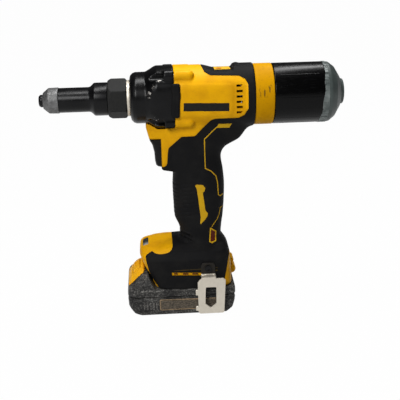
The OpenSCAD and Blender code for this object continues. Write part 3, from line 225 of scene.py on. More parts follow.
def block(low, high):
    (x0, y0, z0), (x1, y1, z1) = low, high
    return prism([(x0, z0), (x1, z0), (x1, z1), (x0, z1)], y0, y1)


def half(points, faces, gap, name):
    """The left half of a closed skin, cut along the middle and closed there."""
    obj = solid(name, points, faces)
    mesh = bmesh.new()
    mesh.from_mesh(obj.data)
    cut = bmesh.ops.bisect_plane(mesh, geom=mesh.verts[:] + mesh.edges[:] + mesh.faces[:],
                                 plane_co=(0, -gap * mm, 0), plane_no=(0, 1, 0), clear_outer=True)
    bmesh.ops.triangle_fill(mesh, edges=[e for e in cut["geom_cut"] if isinstance(e, bmesh.types.BMEdge)],
                            use_beauty=True, normal=(0, 1, 0))
    mesh.to_mesh(obj.data)
    mesh.free()
    return obj


def mirrored(obj, name):
    mesh = obj.data.copy()
    mesh.transform(Matrix.Scale(-1, 4, (0, 1, 0)))
    mesh.flip_normals()
    return placed(name, mesh)


class Tint:
    """A shader socket. Sums and products with numbers or other sockets add their Math nodes."""

    def __init__(self, tree, socket=None):
        self.tree, self.socket = tree, socket

    def node(self, kind, settings=None, sockets=None, out=0):
        made = self.tree.nodes.new(kind)
        for key, value in (settings or {}).items():
            setattr(made, key, value)
        for key, value in (sockets or {}).items():
            if isinstance(value, Tint):
                self.tree.links.new(value.socket, made.inputs[key])
            else:
                made.inputs[key].default_value = value
        return Tint(self.tree, made.outputs[out])

    def maths(self, operation, other, swap=False):
        pair = (other, self) if swap else (self, other)
        return self.node("ShaderNodeMath", {"operation": operation}, {0: pair[0], 1: pair[1]})

    def __add__(self, other): return self.maths("ADD", other)
    def __radd__(self, other): return self.maths("ADD", other)
    def __sub__(self, other): return self.maths("SUBTRACT", other)
    def __rsub__(self, other): return self.maths("SUBTRACT", other, True)
    def __mul__(self, other): return self.maths("MULTIPLY", other)
    def __rmul__(self, other): return self.maths("MULTIPLY", other)
    def __gt__(self, other): return self.maths("GREATER_THAN", other)
    def __lt__(self, other): return self.maths("LESS_THAN", other)

    def noise(self, scale, detail=3.0, rough=0.55):
        return self.node("ShaderNodeTexNoise", None,
                         {"Vector": self, "Scale": scale, "Detail": detail, "Roughness": rough})

    def stretched(self, scale, turn=(0, 0, 0)):
        return self.node("ShaderNodeMapping", None, {"Vector": self, "Scale": scale, "Rotation": turn})

    def ramp(self, low, high, dark=0.0, light=1.0):
        made = self.node("ShaderNodeValToRGB", None, {0: self})
        for stop, at, tone in zip(made.socket.node.color_ramp.elements, (low, high), (dark, light)):
            stop.position, stop.color = at, (tone, tone, tone, 1)
        return made

    def clamped(self):
        return self.maths("MAXIMUM", 0.0).maths("MINIMUM", 1.0)

    def mix(self, a, b):
        a, b = (c if isinstance(c, Tint) else (*c, 1) for c in (a, b))
        return self.node("ShaderNodeMix", {"data_type": "RGBA"}, {0: self, 6: a, 7: b}, 2)

    def bump(self, strength, depth):
        return self.node("ShaderNodeBump", None, {"Height": self, "Strength": strength, "Distance": depth})


class Finish:
    """A material with its main shader, and the piece's own coordinates in metres as its place."""

    def __init__(self, name, gloss=0.5, **constants):
        self.material = bpy.data.materials.new(name)
        self.material.use_nodes = True
        tree = self.material.node_tree
        self.shader = tree.nodes["Principled BSDF"]
        self.place = Tint(tree).node("ShaderNodeTexCoord", None, None, "Object")
        for key, value in {"Specular_IOR_Level": gloss, **constants}.items():
            self.shader.inputs[key.replace("_", " ")].default_value = value

    def drive(self, **links):
        for key, tint in links.items():
            self.shader.id_data.links.new(tint.socket, self.shader.inputs[key.replace("_", " ")])
        return self

    def axis(self, i):
        return self.place.node("ShaderNodeSeparateXYZ", None, {0: self.place}, i)

    def colour(self):
        """What leads the colour so far."""
        return Tint(self.shader.id_data, self.shader.inputs["Base Color"].links[0].from_socket)

    def near(self, spot, reach):
        """One at a spot of the piece in millimetres, falling to nothing at the given reach."""
        far = self.place.node("ShaderNodeVectorMath", {"operation": "DISTANCE"},
                              {0: self.place, 1: [v * mm for v in spot]}, "Value")
        return (1 - far * (1000.0 / reach)).maths("MAXIMUM", 0.0)


def mount(obj, finish, body_name, slot, *nodes, sharp=38):
    """Gives a finished piece its material and smooth shading, and puts it on its body."""
    obj.data.materials.clear()
    obj.data.materials.append(finish.material)
    obj.data.shade_smooth()
    obj.data.set_sharp_from_angle(angle=math.radians(sharp))
    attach(obj, body_name)
    if nodes:
        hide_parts(*nodes)
    return obj


def yellow_nylon(name, clean, worn, dirt, gloss=0.08):
    made = Finish(name, gloss)
    smudge = made.place.noise(38, 4).ramp(0.42, 0.72)
    rubbed = made.place.stretched((60, 200, 420), (0, 0.5, 0)).noise(6, 3).ramp(0.62, 0.72)
    grain = made.place.noise(2200, 2)
    tone = (smudge * 0.55).mix(clean, worn)
    tone = (rubbed * dirt).mix(tone, (0.12, 0.06, 0.01))
    return made.drive(Base_Color=tone, Roughness=0.40 + smudge * 0.16 + grain * 0.06,
                      Normal=grain.bump(0.12, 0.0002))


yellow = yellow_nylon("yellow_nylon", (0.80, 0.40, 0.002), (0.50, 0.20, 0.002), 0.35)
# Outline along which the rubber ends, the label pad on the foot's front and the raised panel of the head
rubber_outline = [
    (82, 266), (25.9, 262), (29.2, 255.2), (34.9, 252.1), (63.6, 251.0), (69.8, 247.8), (72.3, 242.7),
    (72.3, 218.3), (68.6, 211.8), (62.8, 208.4), (38.6, 208.2), (34.7, 206.5), (19.5, 190.2),
    (17.7, 189.2), (4.6, 188.8), (-2.0, 182.8), (-9.1, 176.1), (-10.2, 169.0), (-11.0, 160.0),
    (-12.4, 157.4), (-15.2, 156.2), (-20, 156), (-20, 149.5), (-12, 86), (-8.6, 80.0), (-8.6, 74.0),
    (-8.9, 72.0), (-10.0, 70.4), (-12.4, 68.8), (-15.0, 68.0), (-20, 67.4), (-24.2, 67.4), (-27.6, 68.1),
    (-30.7, 69.3), (-33.5, 68.0), (-36.6, 65.9), (-37.4, 64.6), (-37.5, 62.6), (-36.6, 57.2),
    (-34.4, 47.4), (-30.9, 38.6), (-26.5, 32.7), (-23.0, 28), (44.0, 26), (45.2, 38.6), (46.8, 45.0),
    (49.3, 56.6), (54, 70), (60, 80), (82, 195)]
label_outline = [
    (-9.3, 92), (-9.3, 74.2), (-9.6, 72.6), (-10.7, 71.1), (-13.0, 69.5), (-15.4, 68.7), (-20, 68.1),
    (-24.0, 68.1), (-27.3, 68.8), (-31, 70.2), (-35, 68.4), (-38.4, 66), (-50, 66), (-50, 92)]
panel_outline = [(4.3, 246.1), (56.2, 244.4), (58.0, 241), (58.0, 214), (54.5, 210.5), (2.2, 210.4)]
# Bay for the pack's tower: a rail between two grooves on each side, and wider grooves in the middle
bay_x, wide_x, bay_top, below_foot = (-46, 49.7), (-20, 43), 46.8, 20.0
rail_low, rail_high, rail_in, groove_out, wide_out = 33.4, 36.6, 23.4, 27.4, 33.2


def cut_bay(obj):
    grooves = (below_foot, rail_low), (rail_high, bay_top)
    cuts = [(wide_x, wide_out, *groove) for groove in grooves] + [(bay_x, rail_in, below_foot, bay_top)]
    for (front, back), out, low, high in cuts + [(bay_x, groove_out, *groove) for groove in grooves]:
        carve(obj, block((front, -out, low), (back, out, high)))
    return obj


bore_r, rubber_proud, rubber_bed, label_rise, panel_rise = 27.0, 0.35, 0.9, 1.0, 0.45
# Middles and half sizes of the rooms for switch and control module
switch_room, board_room = ((11, 0, 172), (15.4, 10.3, 14.3)), ((21, 0, 121.5), (17.4, 10.3, 26.8))


def inward(outline, x, z, slope):
    """One inside the outline, falling to nothing at its edge."""
    return np.clip(-outline_distance(outline, x, z) / slope, 0, 1)


def square_box(x, y, z, middle, half_size):
    dx, dy, dz = (np.abs(v - m) - h for v, m, h in zip((x, y, z), middle, half_size))
    return np.maximum(dx, np.maximum(dy, dz))


def yellow_form(x, y, z):
    bore = np.maximum(np.hypot(y, z - axis_z) - bore_r, np.maximum(-12 - x, x - 90))
    rooms = np.minimum(square_box(x, y, z, *switch_room), square_box(x, y, z, *board_room))
    raised = label_rise * inward(label_outline, x, z, 1.6) + panel_rise * inward(panel_outline, x, z, 1.4)
    d = body(x, y, z) + rubber_proud + rubber_bed * inward(rubber_outline, x, z, 1.5) - raised
    return np.maximum(d, -np.minimum(bore, rooms))


body_low, body_high = (-48.0, -44.0, 26.0), (84.0, 3.0, 265.0)
half_gap = 0.06
left = half(*skin(yellow_form, body_low, body_high, 1.2), half_gap, "left_housing_skin")
slot_front, slot_back, slot_half, slot_pitch, slot_taper = 60.6, 66.8, 1.25, 5.4, 1.6
for i in range(6):
    rise = axis_z + (i - 2.5) * slot_pitch
    low, high, back = rise - slot_half, rise + slot_half, slot_back - (slot_taper if i in (0, 5) else 0.0)
    carve(left, prism([(slot_front, low), (back, low), (slot_back, high), (slot_front, high)], -40.0, -20.0))
cut_bay(left)
trigger_pocket, lens_pocket = ((-34, -8.9, 155.1), (-3, 5, 185.4)), ((-40.2, -11.1, 63.8), (-34.2, 5, 74.2))
for pocket in (trigger_pocket, lens_pocket):
    carve(left, block(*pocket))
right = mirrored(left, "right_housing_skin")
screw_places = [
    (62.0, 197.0), (8.0, 197.0), (41.0, 178.0), (-1.5, 152.0), (42.1, 106.0), (8.0, 88.0), (-28.0, 62.0),
    (46.0, 60.0)]
well_r, well_depth, well_middle = 0.00375, 0.04, 0.0268


def screw_wells():
    """Deep round wells in the right half that lead to the housing screws."""
    mesh = bmesh.new()
    for x, z in screw_places:
        place = Matrix.Translation((x * mm, well_middle, z * mm)) @ Matrix.Rotation(math.pi / 2, 4, "X")
        bmesh.ops.create_cone(mesh, cap_ends=True, segments=28, radius1=well_r, radius2=well_r,
                              depth=well_depth, matrix=place)
    well = placed("tool_for_cut", bpy.data.meshes.new("tool_for_cut"))
    mesh.to_mesh(well.data)
    mesh.free()
    return well


carve(right, screw_wells())
mount(left, yellow, "tool", "yellow_plastic", "left_housing")
mount(right, yellow, "tool", "yellow_plastic", "right_housing")

# Overmold: soft black rubber moulded over the head's rear band, the grip and the foot. It stands a
# third of a millimetre proud of the nylon, and a slot on each foot side leaves the nylon bare.
foot_slot = [(-10.8, 44.9), (21.0, 43.4), (21.0, 46.9), (-10.8, 48.4)]
rubber_thick, rib_depth, rib_pitch, rib_low, rib_high = 1.5, 0.5, 4.45, 100, 140.5
rubber = Finish("moulded_rubber", gloss=0.07)
dust = rubber.place.noise(55, 5).ramp(0.45, 0.8)
pores = rubber.place.noise(1700, 2)
rubber.drive(Base_Color=(dust * 0.5).mix((0.0065, 0.0065, 0.007), (0.022, 0.021, 0.019)),
             Roughness=0.55 + dust * 0.2 + pores * 0.08, Normal=pores.bump(0.25, 0.0003))


def rib(x, y, z):
    """Shallow grooves across the front of the grip, and creases where it meets the foot."""
    front = np.clip((18.0 - x) / 4.0, 0, 1)
    front = front * np.clip((z - rib_low) / 2, 0, 1) * np.clip((rib_high - z) / 2, 0, 1)
    wave = np.clip(np.cos((z - 102.2 - 0.11 * (x + 3)) * 2 * np.pi / rib_pitch) - 0.5, 0, 1) / 0.5
    away = [edge_distance(line, x, z) for line in (
        [(-1.0, 79.4), (4.2, 79.0), (7.8, 77.6), (12.4, 75.4)], [(2.5, 82.6), (7.0, 82.2), (9.8, 81.4)])]
    crease = sum(1.05 * np.exp(-(d / 0.9) ** 2) - 0.9 * np.exp(-((d - 2.0) / 0.8) ** 2) for d in away)
    return rib_depth * front * wave + np.clip(crease, -0.9, 1.0)


outer_points, outer_faces = skin(lambda x, y, z: body(x, y, z) + rib(x, y, z), body_low, body_high, 1.1)
inner_points, inner_faces = skin(lambda x, y, z: body(x, y, z) + rubber_thick, body_low, body_high, 1.6)
both_faces = [list(f) for f in outer_faces] + [[v + len(outer_points) for v in f[::-1]] for f in inner_faces]
left_rubber = half(np.concatenate([outer_points, inner_points]), both_faces, half_gap, "left_overmold_skin")
carve(left_rubber, prism(rubber_outline, -60.0, 20.0), "INTERSECT")
carve(left_rubber, prism(foot_slot, -60.0, -20.0))
cut_bay(left_rubber)
right_rubber = carve(mirrored(left_rubber, "right_overmold_skin"), screw_wells())
mount(left_rubber, rubber, "tool", "soft_rubber", "left_overmold")
mount(right_rubber, rubber, "tool", "soft_rubber", "right_overmold")

# Bare lines and plates on grip and head: ribs of the yellow nylon that come up flush through narrow
# slots in the rubber on both sides, with dark red marks in some of them and a plain dark bar on the head.
# The brownish lines along the foot slot are painted shade: a darkened copy of the yellow nylon.
bar = [(42.4, 202.0), (56.6, 201.8), (54.2, 196.9), (40.8, 197.3)]
upper_line = [
    (41.1, 198.4), (28.0, 185.7), (28.2, 154.9), (34.4, 151.4), (39.4, 145.6), (40.9, 138.2),
    (41.6, 124.9), (43.6, 123.4), (46.6, 124.2)]
lower_line = [
    (46.4, 110.6), (43.7, 110.0), (43.0, 107.2), (42.2, 102.8), (39.9, 97.9), (36.3, 93.8), (33.7, 90.3)]
loop = [(32.4, 89.1), (38.1, 84.8), (37.6, 75.2), (33.5, 73.7), (31.2, 75.0)]
name_plate = [
    (17.0, 137.1), (19.0, 138.1), (25.4, 137.3), (27.7, 134.0), (26.8, 130.5), (25.0, 129.0),
    (27.4, 109.2), (29.9, 105.8), (29.3, 102.6), (26.6, 98.6), (22.0, 94.1), (21.5, 95.7), (22.2, 102.0),
    (18.8, 132.9)]
head_bar = [(7.1, 226.2), (53.2, 224.7), (53.1, 216.2), (6.9, 217.6)]
slot_marks = [[(a, 46.9 - 0.047 * a), (b, 46.9 - 0.047 * b), (b, 45.6 - 0.047 * b), (a, 45.6 - 0.047 * a)]
              for a, b in ((-8.6, -4.6), (0.9, 6.6), (10.7, 17.0))]


def inlay(name, flat, low, high, proud, step, sink=0.8):
    """Plates let into both sides of the body, from their outline in side view."""
    def form(x, y, z):
        d = body(x, y, z)
        return soft_max(soft_max(d - proud, -d - sink, 0.15), flat(x, z), 0.2)
    points, faces = skin(form, low, high, step)
    return solid(name, np.concatenate([points, points * (1, -1, 1)]),
                 np.concatenate([faces, faces[:, ::-1] + len(points)]))


def upper_flat(x, z):
    return np.minimum(outline_distance(bar, x, z), edge_distance(upper_line, x, z) - 0.6)


def lower_flat(x, z):
    return np.minimum(np.abs(outline_distance(loop, x, z)) - 0.7, edge_distance(lower_line, x, z) - 0.42)


def foot_flat(x, z):
    upper, lower = [(-8.1, 50.2), (14.5, 50.6), (37.5, 51.4)], [(21.4, 47.1), (37.0, 48.3)]
    return np.minimum(edge_distance(upper, x, z) - 0.4, edge_distance(lower, x, z) - 0.9)


def within(*outlines, margin=0.0):
    return lambda x, z: np.minimum.reduce([outline_distance(o, x, z) for o in outlines]) + margin


def ink(name, gloss, tone_scale, wear_scale, dark, light, rough):
    made = Finish(name, gloss)
    return made.drive(Base_Color=made.place.noise(tone_scale).mix(dark, light),
                      Roughness=rough + made.place.noise(wear_scale) * 0.2)


gold = yellow_nylon("bare_nylon_lines", (0.62, 0.36, 0.01), (0.40, 0.22, 0.02), 0.5)
# A darkened copy of the yellow nylon, painted as the shade along the upper edge of the foot slot.
painted_shade_gold = yellow_nylon("nylon_lines_in_painted_shade", (0.075, 0.05, 0.012), (0.045, 0.03, 0.01), 0.5)
dark_red = ink("dark_red_mark", 0.2, 400, 900, (0.05, 0.006, 0.003), (0.12, 0.015, 0.004), 0.5)
dark_bar = ink("printed_bar", 0.08, 300, 700, (0.008, 0.008, 0.008), (0.02, 0.018, 0.015), 0.4)
for name, flat, low, high, proud, step, finish in (
        ("upper_grip_line", upper_flat, (26, -24, 121), (59, -4, 204), 0.15, 0.45, gold),
        ("lower_grip_line", lower_flat, (29, -30, 71.5), (49, -3, 113), 0.15, 0.45, gold),
        ("grip_plate", within(name_plate), (15, -22, 92), (32, -15, 140), 0.2, 0.45, gold),
        # Brownish lines above and beside the foot slot: painted shade.
        ("foot_line", foot_flat, (-10, -40, 45), (39, -34, 53), 0.12, 0.45, painted_shade_gold),
        ("loop_mark", within(loop, margin=0.6), (30, -28, 72.5), (40, -13, 90), 0.05, 0.4, dark_red),
        ("foot_slot_marks", within(*slot_marks), (-10, -40, 43.5), (19, -35, 49), -0.2, 0.35, dark_red),
        ("head_bar", within(head_bar), (5, -31, 214), (55, -27, 228), 0.22, 0.5, dark_bar)):
    mount(inlay(name, flat, low, high, proud, step), finish, "tool", "yellow_plastic")

# Gear case: black coated aluminium die casting in front of the head, with flat sides and four ears.
# Its screws sit in grooves that run in from the front. The coating is rubbed bright on its edges.
case_profile = [
    (-58.5, 10.9), (-58.5, 15.4), (-46.5, 15.4), (-46.5, 19.8), (-45.6, 22.9), (-43.4, 25.2),
    (-40.5, 26.3), (-30.6, 26.4), (-28.6, 27.2), (-21.6, 31.4), (-19.2, 32.4), (-2.1, 32.4), (-2.1, 26.8),
    (18.7, 26.8), (18.7, 25.1), (8.7, 25.1), (8.7, 20.4), (4.7, 20.4), (4.7, 17.1), (-1, 17.1),
    (-1, 16.45), (-44, 16.45), (-44, 10.9)]
ear_r, ear_front, ear_back, groove_r, groove_back = 6.2, -12.0, -2.1, 4.3, -5.5


def gear_case(x, y, z):
    rise, out = z - axis_z, np.abs(y)
    r = np.hypot(y, rise)
    d = soft_max(outline_distance(case_profile, x, r), out - head_flat, 2.6)
    for drop, side in boss_places:
        spot = np.hypot(out - side, rise + drop)
        d = soft_min(d, soft_max(soft_max(spot - ear_r, ear_front - x, 1.5), x - ear_back, 0.6), 2.0)
        d = soft_max(d, -np.maximum(spot - groove_r, x - groove_back), 0.8)
    return np.maximum(d, -square_box(x, y, rise, (-22.5, 0, 0), (21.5, 19.45, 2.95)))


black_alloy = Finish("coated_alloy", gloss=0.15)
wear_noise = black_alloy.place.noise(330, 4, 0.7)
edge_wear = (black_alloy.near((-28.4, -29, 236), 8) + black_alloy.near((-23, -28.5, 245), 6)
             + black_alloy.near((-16, -24, 250), 5) + black_alloy.near((-22, -28, 208), 7))
edge_wear = edge_wear.maths("MINIMUM", 1.0)
worn = (wear_noise + edge_wear * 0.48).ramp(0.80, 0.86)
haze = black_alloy.place.noise(42, 4).ramp(0.4, 0.75)
coat = haze.mix((0.0012, 0.0012, 0.0014), (0.005, 0.005, 0.0055))
black_alloy.drive(Base_Color=worn.mix(coat, (0.42, 0.40, 0.37)), Roughness=0.24 + haze * 0.12 + worn * 0.1,
                  Metallic=worn * 0.7, Normal=black_alloy.place.noise(900, 3).bump(0.10, 0.0003))
mount(formed("gear_case_skin", gear_case, (-60, -33, 192), (20, 33, 263), 0.9), black_alloy, "tool",
      "black_alloy", "gear_case")

# Side bumpers: rounded black rubber pads over the joint of gear case and head on both sides. They are
# moulded by themselves and glued on.


def rounded_box(x, y, z, low, high, r):
    q = [np.abs(v - (a + b) / 2) - (b - a) / 2 + r for v, a, b in zip((x, y, z), low, high)]
    within_faces = np.minimum(np.maximum(np.maximum(q[0], q[1]), q[2]), 0)
    return np.sqrt(sum(np.maximum(v, 0) ** 2 for v in q)) + within_faces - r


def rounded(low, high, r):
    return lambda x, y, z: rounded_box(x, y, z, low, high, r)


def bumpers(x, y, z):
    waist = 0.8 * np.exp(-((z - 233.0) / 5.0) ** 2)
    leant = x - 0.03 * (z - axis_z) - waist
    pad = rounded_box(leant, np.abs(y), z, (-5.0, 27.5, 211), (3.6, 31.3, 246), 2.2)
    return soft_max(pad, 28.85 - np.abs(y), 0.3)


(left_pad, left_faces), (right_pad, right_faces) = (
    skin(bumpers, (-8, a, 208), (7, b, 249), 0.6) for a, b in ((-32.5, -28), (28, 32.5)))
mount(solid("side_bumper_pads", np.concatenate([left_pad, right_pad]),
            np.concatenate([left_faces, right_faces + len(left_pad)])),
      rubber, "tool", "soft_rubber", "side_bumpers")

# Top inlay: a thin moulded yellow nylon plate with a red printed patch. It is glued to the floor of the
# dip on top of the head.
plate_yellow = yellow_nylon("top_plate", (0.78, 0.46, 0.03), (0.6, 0.3, 0.02), 0.4)
patch = plate_yellow.near((45.0, -3, 256), 3.4) > 0.02
plate_yellow.drive(Base_Color=patch.mix(plate_yellow.colour(), (0.35, 0.02, 0.01)))
mount(formed("top_inlay_plate", rounded((40.4, -8.2, 254.9), (56.8, 8.2, 256.2), 0.4),
             (39, -10, 254), (58, 10, 257), 0.5), plate_yellow, "tool", "yellow_plastic", "top_inlay")

# Nose: lock ring, hexagon nut, nose tube with its collar, steel cone and nosepiece, all turned parts
# that screw together along the drive axis. Tube and nut are black oxide, cone bare and knocked about.


def fillet(points, radii):
    """The outline with its corners rounded, by one radius or by a radius for each corner."""
    p, made = np.asarray(points, float), []
    for i, corner in enumerate(p):
        r = radii if np.isscalar(radii) else radii[i]
        ways = [p[i - 1] - corner, p[(i + 1) % len(p)] - corner]
        size = [np.linalg.norm(w) for w in ways]
        cos = np.clip(ways[0] @ ways[1] / (size[0] * size[1]), -1, 1)
        reach = min(r * math.sqrt((1 + cos) / max(1 - cos, 1e-6)), 0.45 * min(size))
        if reach < 0.05:
            made.append(corner)
            continue
        a, b = (corner + w / s * reach for w, s in zip(ways, size))
        made += [a * (1 - t) ** 2 + corner * 2 * t * (1 - t) + b * t ** 2 for t in np.linspace(0, 1, 6)]
    return [tuple(m) for m in made]


def turned(name, profile, radii, sides=96):
    """A ring or tube round the drive axis from its closed outline, with its corners rounded by the radii."""
    p = np.asarray(fillet(profile, radii), float)
    n = len(p)
    turns = np.linspace(0, 2 * np.pi, sides, endpoint=False)
    points = [(x, -r * math.sin(a), axis_z + r * math.cos(a)) for a in turns for x, r in p]
    faces = [[k * n + i, k * n + (i + 1) % n, (k + 1) % sides * n + (i + 1) % n, (k + 1) % sides * n + i]
             for k in range(sides) for i in range(n)]
    if (p[:, 0] * np.roll(p[:, 1], -1) - np.roll(p[:, 0], -1) * p[:, 1]).sum() < 0:
        faces = [f[::-1] for f in faces]
    return solid(name, points, faces)


nut_front, nut_back = -69.0, -49.6


def hex_nut(x, y, z):
    rise = z - axis_z
    r = np.hypot(y, rise)
    d = soft_max(np.abs(y), 0.5 * np.abs(y) + 0.866 * np.abs(rise), 0.8) - 18.0
    ends = np.maximum(nut_front - x, x - nut_back)
    d = soft_max(soft_max(d, ends, 0.6), (r - 18.2 - (x - nut_front) * 0.75) * 0.8, 0.8)
    d = soft_max(d, (r - 19.0 - (nut_back - x) * 1.1) * 0.7, 0.5)
    return np.maximum(d, np.where(x < -58.6, 14.1, 15.6) - r)


def zinc(name, **constants):
    """Dull zinc plating, speckled and drawn along the strip."""
    made = Finish(name, **constants)
    made.spots = made.place.noise(260, 5, 0.7)
    made.drawn = made.place.stretched((1, 1, 6), (0, 0.6, 0)).noise(900, 2)
    plating = (made.spots * 0.5 + made.drawn * 0.4).mix((0.74, 0.68, 0.58), (0.50, 0.46, 0.39))
    return made.drive(Base_Color=plating, Roughness=0.38 + made.spots * 0.2,
                      Normal=made.drawn.bump(0.15, 0.0002))


def mottled(name, dark, light, rough, spread, noise, stops=None, stretch=None, **constants):
    """A finish in two tones, where one noise leads both the tone and the roughness."""
    made = Finish(name, **constants)
    made.spots = (made.place.stretched(stretch) if stretch else made.place).noise(*noise)
    if stops:
        made.spots = made.spots.ramp(*stops)
    return made.drive(Base_Color=made.spots.mix(dark, light), Roughness=rough + made.spots * spread)


worn_zinc = zinc("worn_zinc", Metallic=0.75)
stain = worn_zinc.place.noise(45, 3).ramp(0.45, 0.8)
worn_zinc.drive(Roughness=0.38 + worn_zinc.spots * 0.2 + stain * 0.1)
oxide = mottled("black_oxide", (0.0015, 0.0015, 0.002), (0.006, 0.006, 0.0065), 0.27, 0.12, (60, 4),
                (0.4, 0.8), gloss=0.17)
oxide.drive(Normal=oxide.place.stretched((1, 0.02, 0.02)).noise(2500, 2).bump(0.06, 0.0002))
nut_black = mottled("matt_oxide", (0.004, 0.004, 0.004), (0.024, 0.024, 0.023), 0.5, 0.2, (700, 4, 0.7),
                    gloss=0.15)
nut_black.drive(Normal=nut_black.spots.bump(0.3, 0.0003))
bare_steel = Finish("knocked_steel", Metallic=0.7)
dents = bare_steel.place.noise(190, 5, 0.65)
specks = bare_steel.place.noise(1100, 3)
bare_steel.drive(Base_Color=(dents * 0.7 + specks * 0.3).ramp(0.3, 0.62, 0.04, 0.18),
                 Roughness=0.42 + specks * 0.2, Normal=dents.bump(0.35, 0.0012))
ring_profile = [(-49.5, 15.7), (-49.5, 18.5), (-46.6, 18.5), (-46.6, 15.7)]
mount(turned("lock_ring_skin", ring_profile, 0.5), worn_zinc, "tool", "worn_zinc", "lock_ring")
mount(formed("hex_nut_skin", hex_nut, (-71, -20, 205), (-48, 20, 251), 0.7), nut_black, "tool", "black_steel",
      "hex_nut", sharp=30)
tube_profile = [
    (-119, 10.8), (-119, 12.65), (-87, 12.65), (-82.8, 16.9), (-69.1, 16.9), (-69.1, 14), (-58.8, 14),
    (-58.8, 10.8)]
mount(turned("nose_housing_skin", tube_profile, [0.1, 0.4, 5.0, 3.0, 0.8, 0.1, 0.3, 0.3]), oxide, "tool",
      "black_steel", "nose_housing")
cone_profile = [
    (-135, 4.6), (-135, 8.2), (-129.2, 13.0), (-119.1, 13.3), (-119.1, 10.6), (-113, 10.6), (-113, 4.6)]
mount(turned("nose_cone_skin", cone_profile, [0.1, 0.8, 1.5, 0.6, 0.1, 0.3, 0.3]), bare_steel, "tool",
      "steel", "nose_cone")
tip_profile = [
    (-139.5, 2.1), (-139.5, 5.0), (-137.6, 6.4), (-135.05, 6.4), (-135.05, 4.5), (-109.1, 4.5),
    (-109.1, 2.1)]
mount(turned("nosepiece_skin", tip_profile, [0.5, 2.2, 2.2, 0.2, 0.1, 0.3, 0.3], 64), oxide, "tool",
      "black_steel", "nosepiece")

# Rear collar: a moulded yellow nylon ring that closes the end of the head. Its hub holds the rear bearing
# and the mandrel tube, and its bore takes the canister. The ring is stained and scratched.
collar_yellow = yellow_nylon("stained_nylon", (0.60, 0.29, 0.001), (0.42, 0.18, 0.001), 0.75, 0.03)
scratch = collar_yellow.place.stretched((1, 1, 0.25), (0.9, 0.5, 0)).noise(420, 3, 0.6)
scratch = scratch.ramp(0.60, 0.64) * collar_yellow.near((89.5, -31, 236), 13)
scratch = (scratch * 1.4).maths("MINIMUM", 0.85)
collar_yellow.drive(Base_Color=scratch.mix(collar_yellow.colour(), (0.10, 0.05, 0.01)))
collar_profile = [
    (68.6, 13), (80.1, 13), (80.1, 31.4), (99.4, 31.4), (99.4, 28.7), (84, 28.7), (84, 2.85), (77, 2.85),
    (77, 5.4), (74, 5.4), (74, 10.1), (68.6, 10.1)]
mount(turned("rear_collar_skin", collar_profile, [0.3, 0.2, 1.2, 1.2, 0.3] + [0.2] * 6 + [0.3], 128),
      collar_yellow, "tool", "yellow_plastic", "rear_collar")

# Mandrel canister: a moulded black cup that plugs into the collar with a seal, with fine raised lines
# along it, and a smoky grey cap snapped into its end. Both come off to the rear together.
shiny_black = mottled("shiny_black_nylon", (0.0008, 0.0008, 0.0009), (0.004, 0.004, 0.0042), 0.25, 0.12,
                      (900, 4, 0.7), (0.5, 0.9), (0.15, 1, 1), gloss=0.12)
canister_profile = [
    (86.9, 25.4), (86.9, 28.3), (92.2, 28.3), (92.2, 26.4), (94.4, 26.4), (94.4, 28.3), (99.8, 28.3),
    (99.8, 31.2), (151.8, 31.2), (151.8, 28.25), (102.8, 28.2), (99.8, 25.4)]
mount(turned("canister_skin", canister_profile, [0.3, 0.3] + [0.1] * 5 + [1.0, 0.8, 0.2, 0.5, 0.5], 128),
      shiny_black, "canister_unit", "black_plastic", "canister")


def repeated(name, piece, count, start, step, turn, finish):
    """Copies of a small piece in a row or round an axis, made by a group of Geometry Nodes."""
    tree = bpy.data.node_groups.new(name, "GeometryNodeTree")
    tree.interface.new_socket("Geometry", in_out="OUTPUT", socket_type="NodeSocketGeometry")

    def add(kind, **entries):
        made = tree.nodes.new(kind)
        for key, value in entries.items():
            entry = made.inputs[key.replace("_", " ")]
            if isinstance(value, bpy.types.NodeSocket):
                tree.links.new(value, entry)
            else:
                entry.default_value = value
        return made

    row = add("GeometryNodeMeshLine", Count=count, Start_Location=start, Offset=step)
    angle = add("ShaderNodeVectorMath", Vector=turn)
    angle.operation = "SCALE"
    tree.links.new(add("GeometryNodeInputIndex").outputs[0], angle.inputs["Scale"])
    shape = add("GeometryNodeObjectInfo", Object=piece).outputs["Geometry"]
    copies = add("GeometryNodeInstanceOnPoints", Points=row.outputs[0], Instance=shape,
                 Rotation=angle.outputs[0])
    real = add("GeometryNodeRealizeInstances", Geometry=copies.outputs[0])
    painted = add("GeometryNodeSetMaterial", Geometry=real.outputs[0], Material=finish.material)
    add("NodeGroupOutput", Geometry=painted.outputs[0])
    obj = placed(name, bpy.data.meshes.new(name))
    obj.modifiers.new(name, "NODES").node_group = tree
    plain_mesh(obj)
    bpy.data.objects.remove(piece)
    return obj


line = formed("one_line", rounded((105.8, -0.45, 30.8), (145.8, 0.45, 31.33), 0.26),
              (105, -1.2, 30.4), (146.5, 1.2, 32), 0.25)
line_turn = (math.radians(22.5), 0, 0)
mount(repeated("canister_lines", line, 16, (0, 0, axis_z * mm), (0, 0, 0), line_turn, shiny_black),
      shiny_black, "canister_unit", "black_plastic")
smoke = Finish("smoky_nylon", gloss=0.3, Transmission_Weight=0.12)
cloud = smoke.place.noise(48, 4).ramp(0.35, 0.75)
rubs = smoke.place.stretched((1, 0.3, 1), (0, 0.4, 0)).noise(600, 3, 0.7)
smoke.drive(Base_Color=(cloud * 0.6 + rubs * 0.4).mix((0.040, 0.052, 0.049), (0.10, 0.122, 0.117)),
            Roughness=0.32 + rubs * 0.25, Normal=rubs.bump(0.1, 0.0002))
cap_profile = [
    (143.9, 25.5), (143.9, 28.0), (151.9, 28.0), (151.9, 31.1), (158, 30.8), (163.9, 26.2), (169.6, 16.8),
    (170.8, 13.4), (173.7, 12.8), (173.7, 0.4), (171.2, 0.4), (167.3, 11.2), (158, 25.5)]
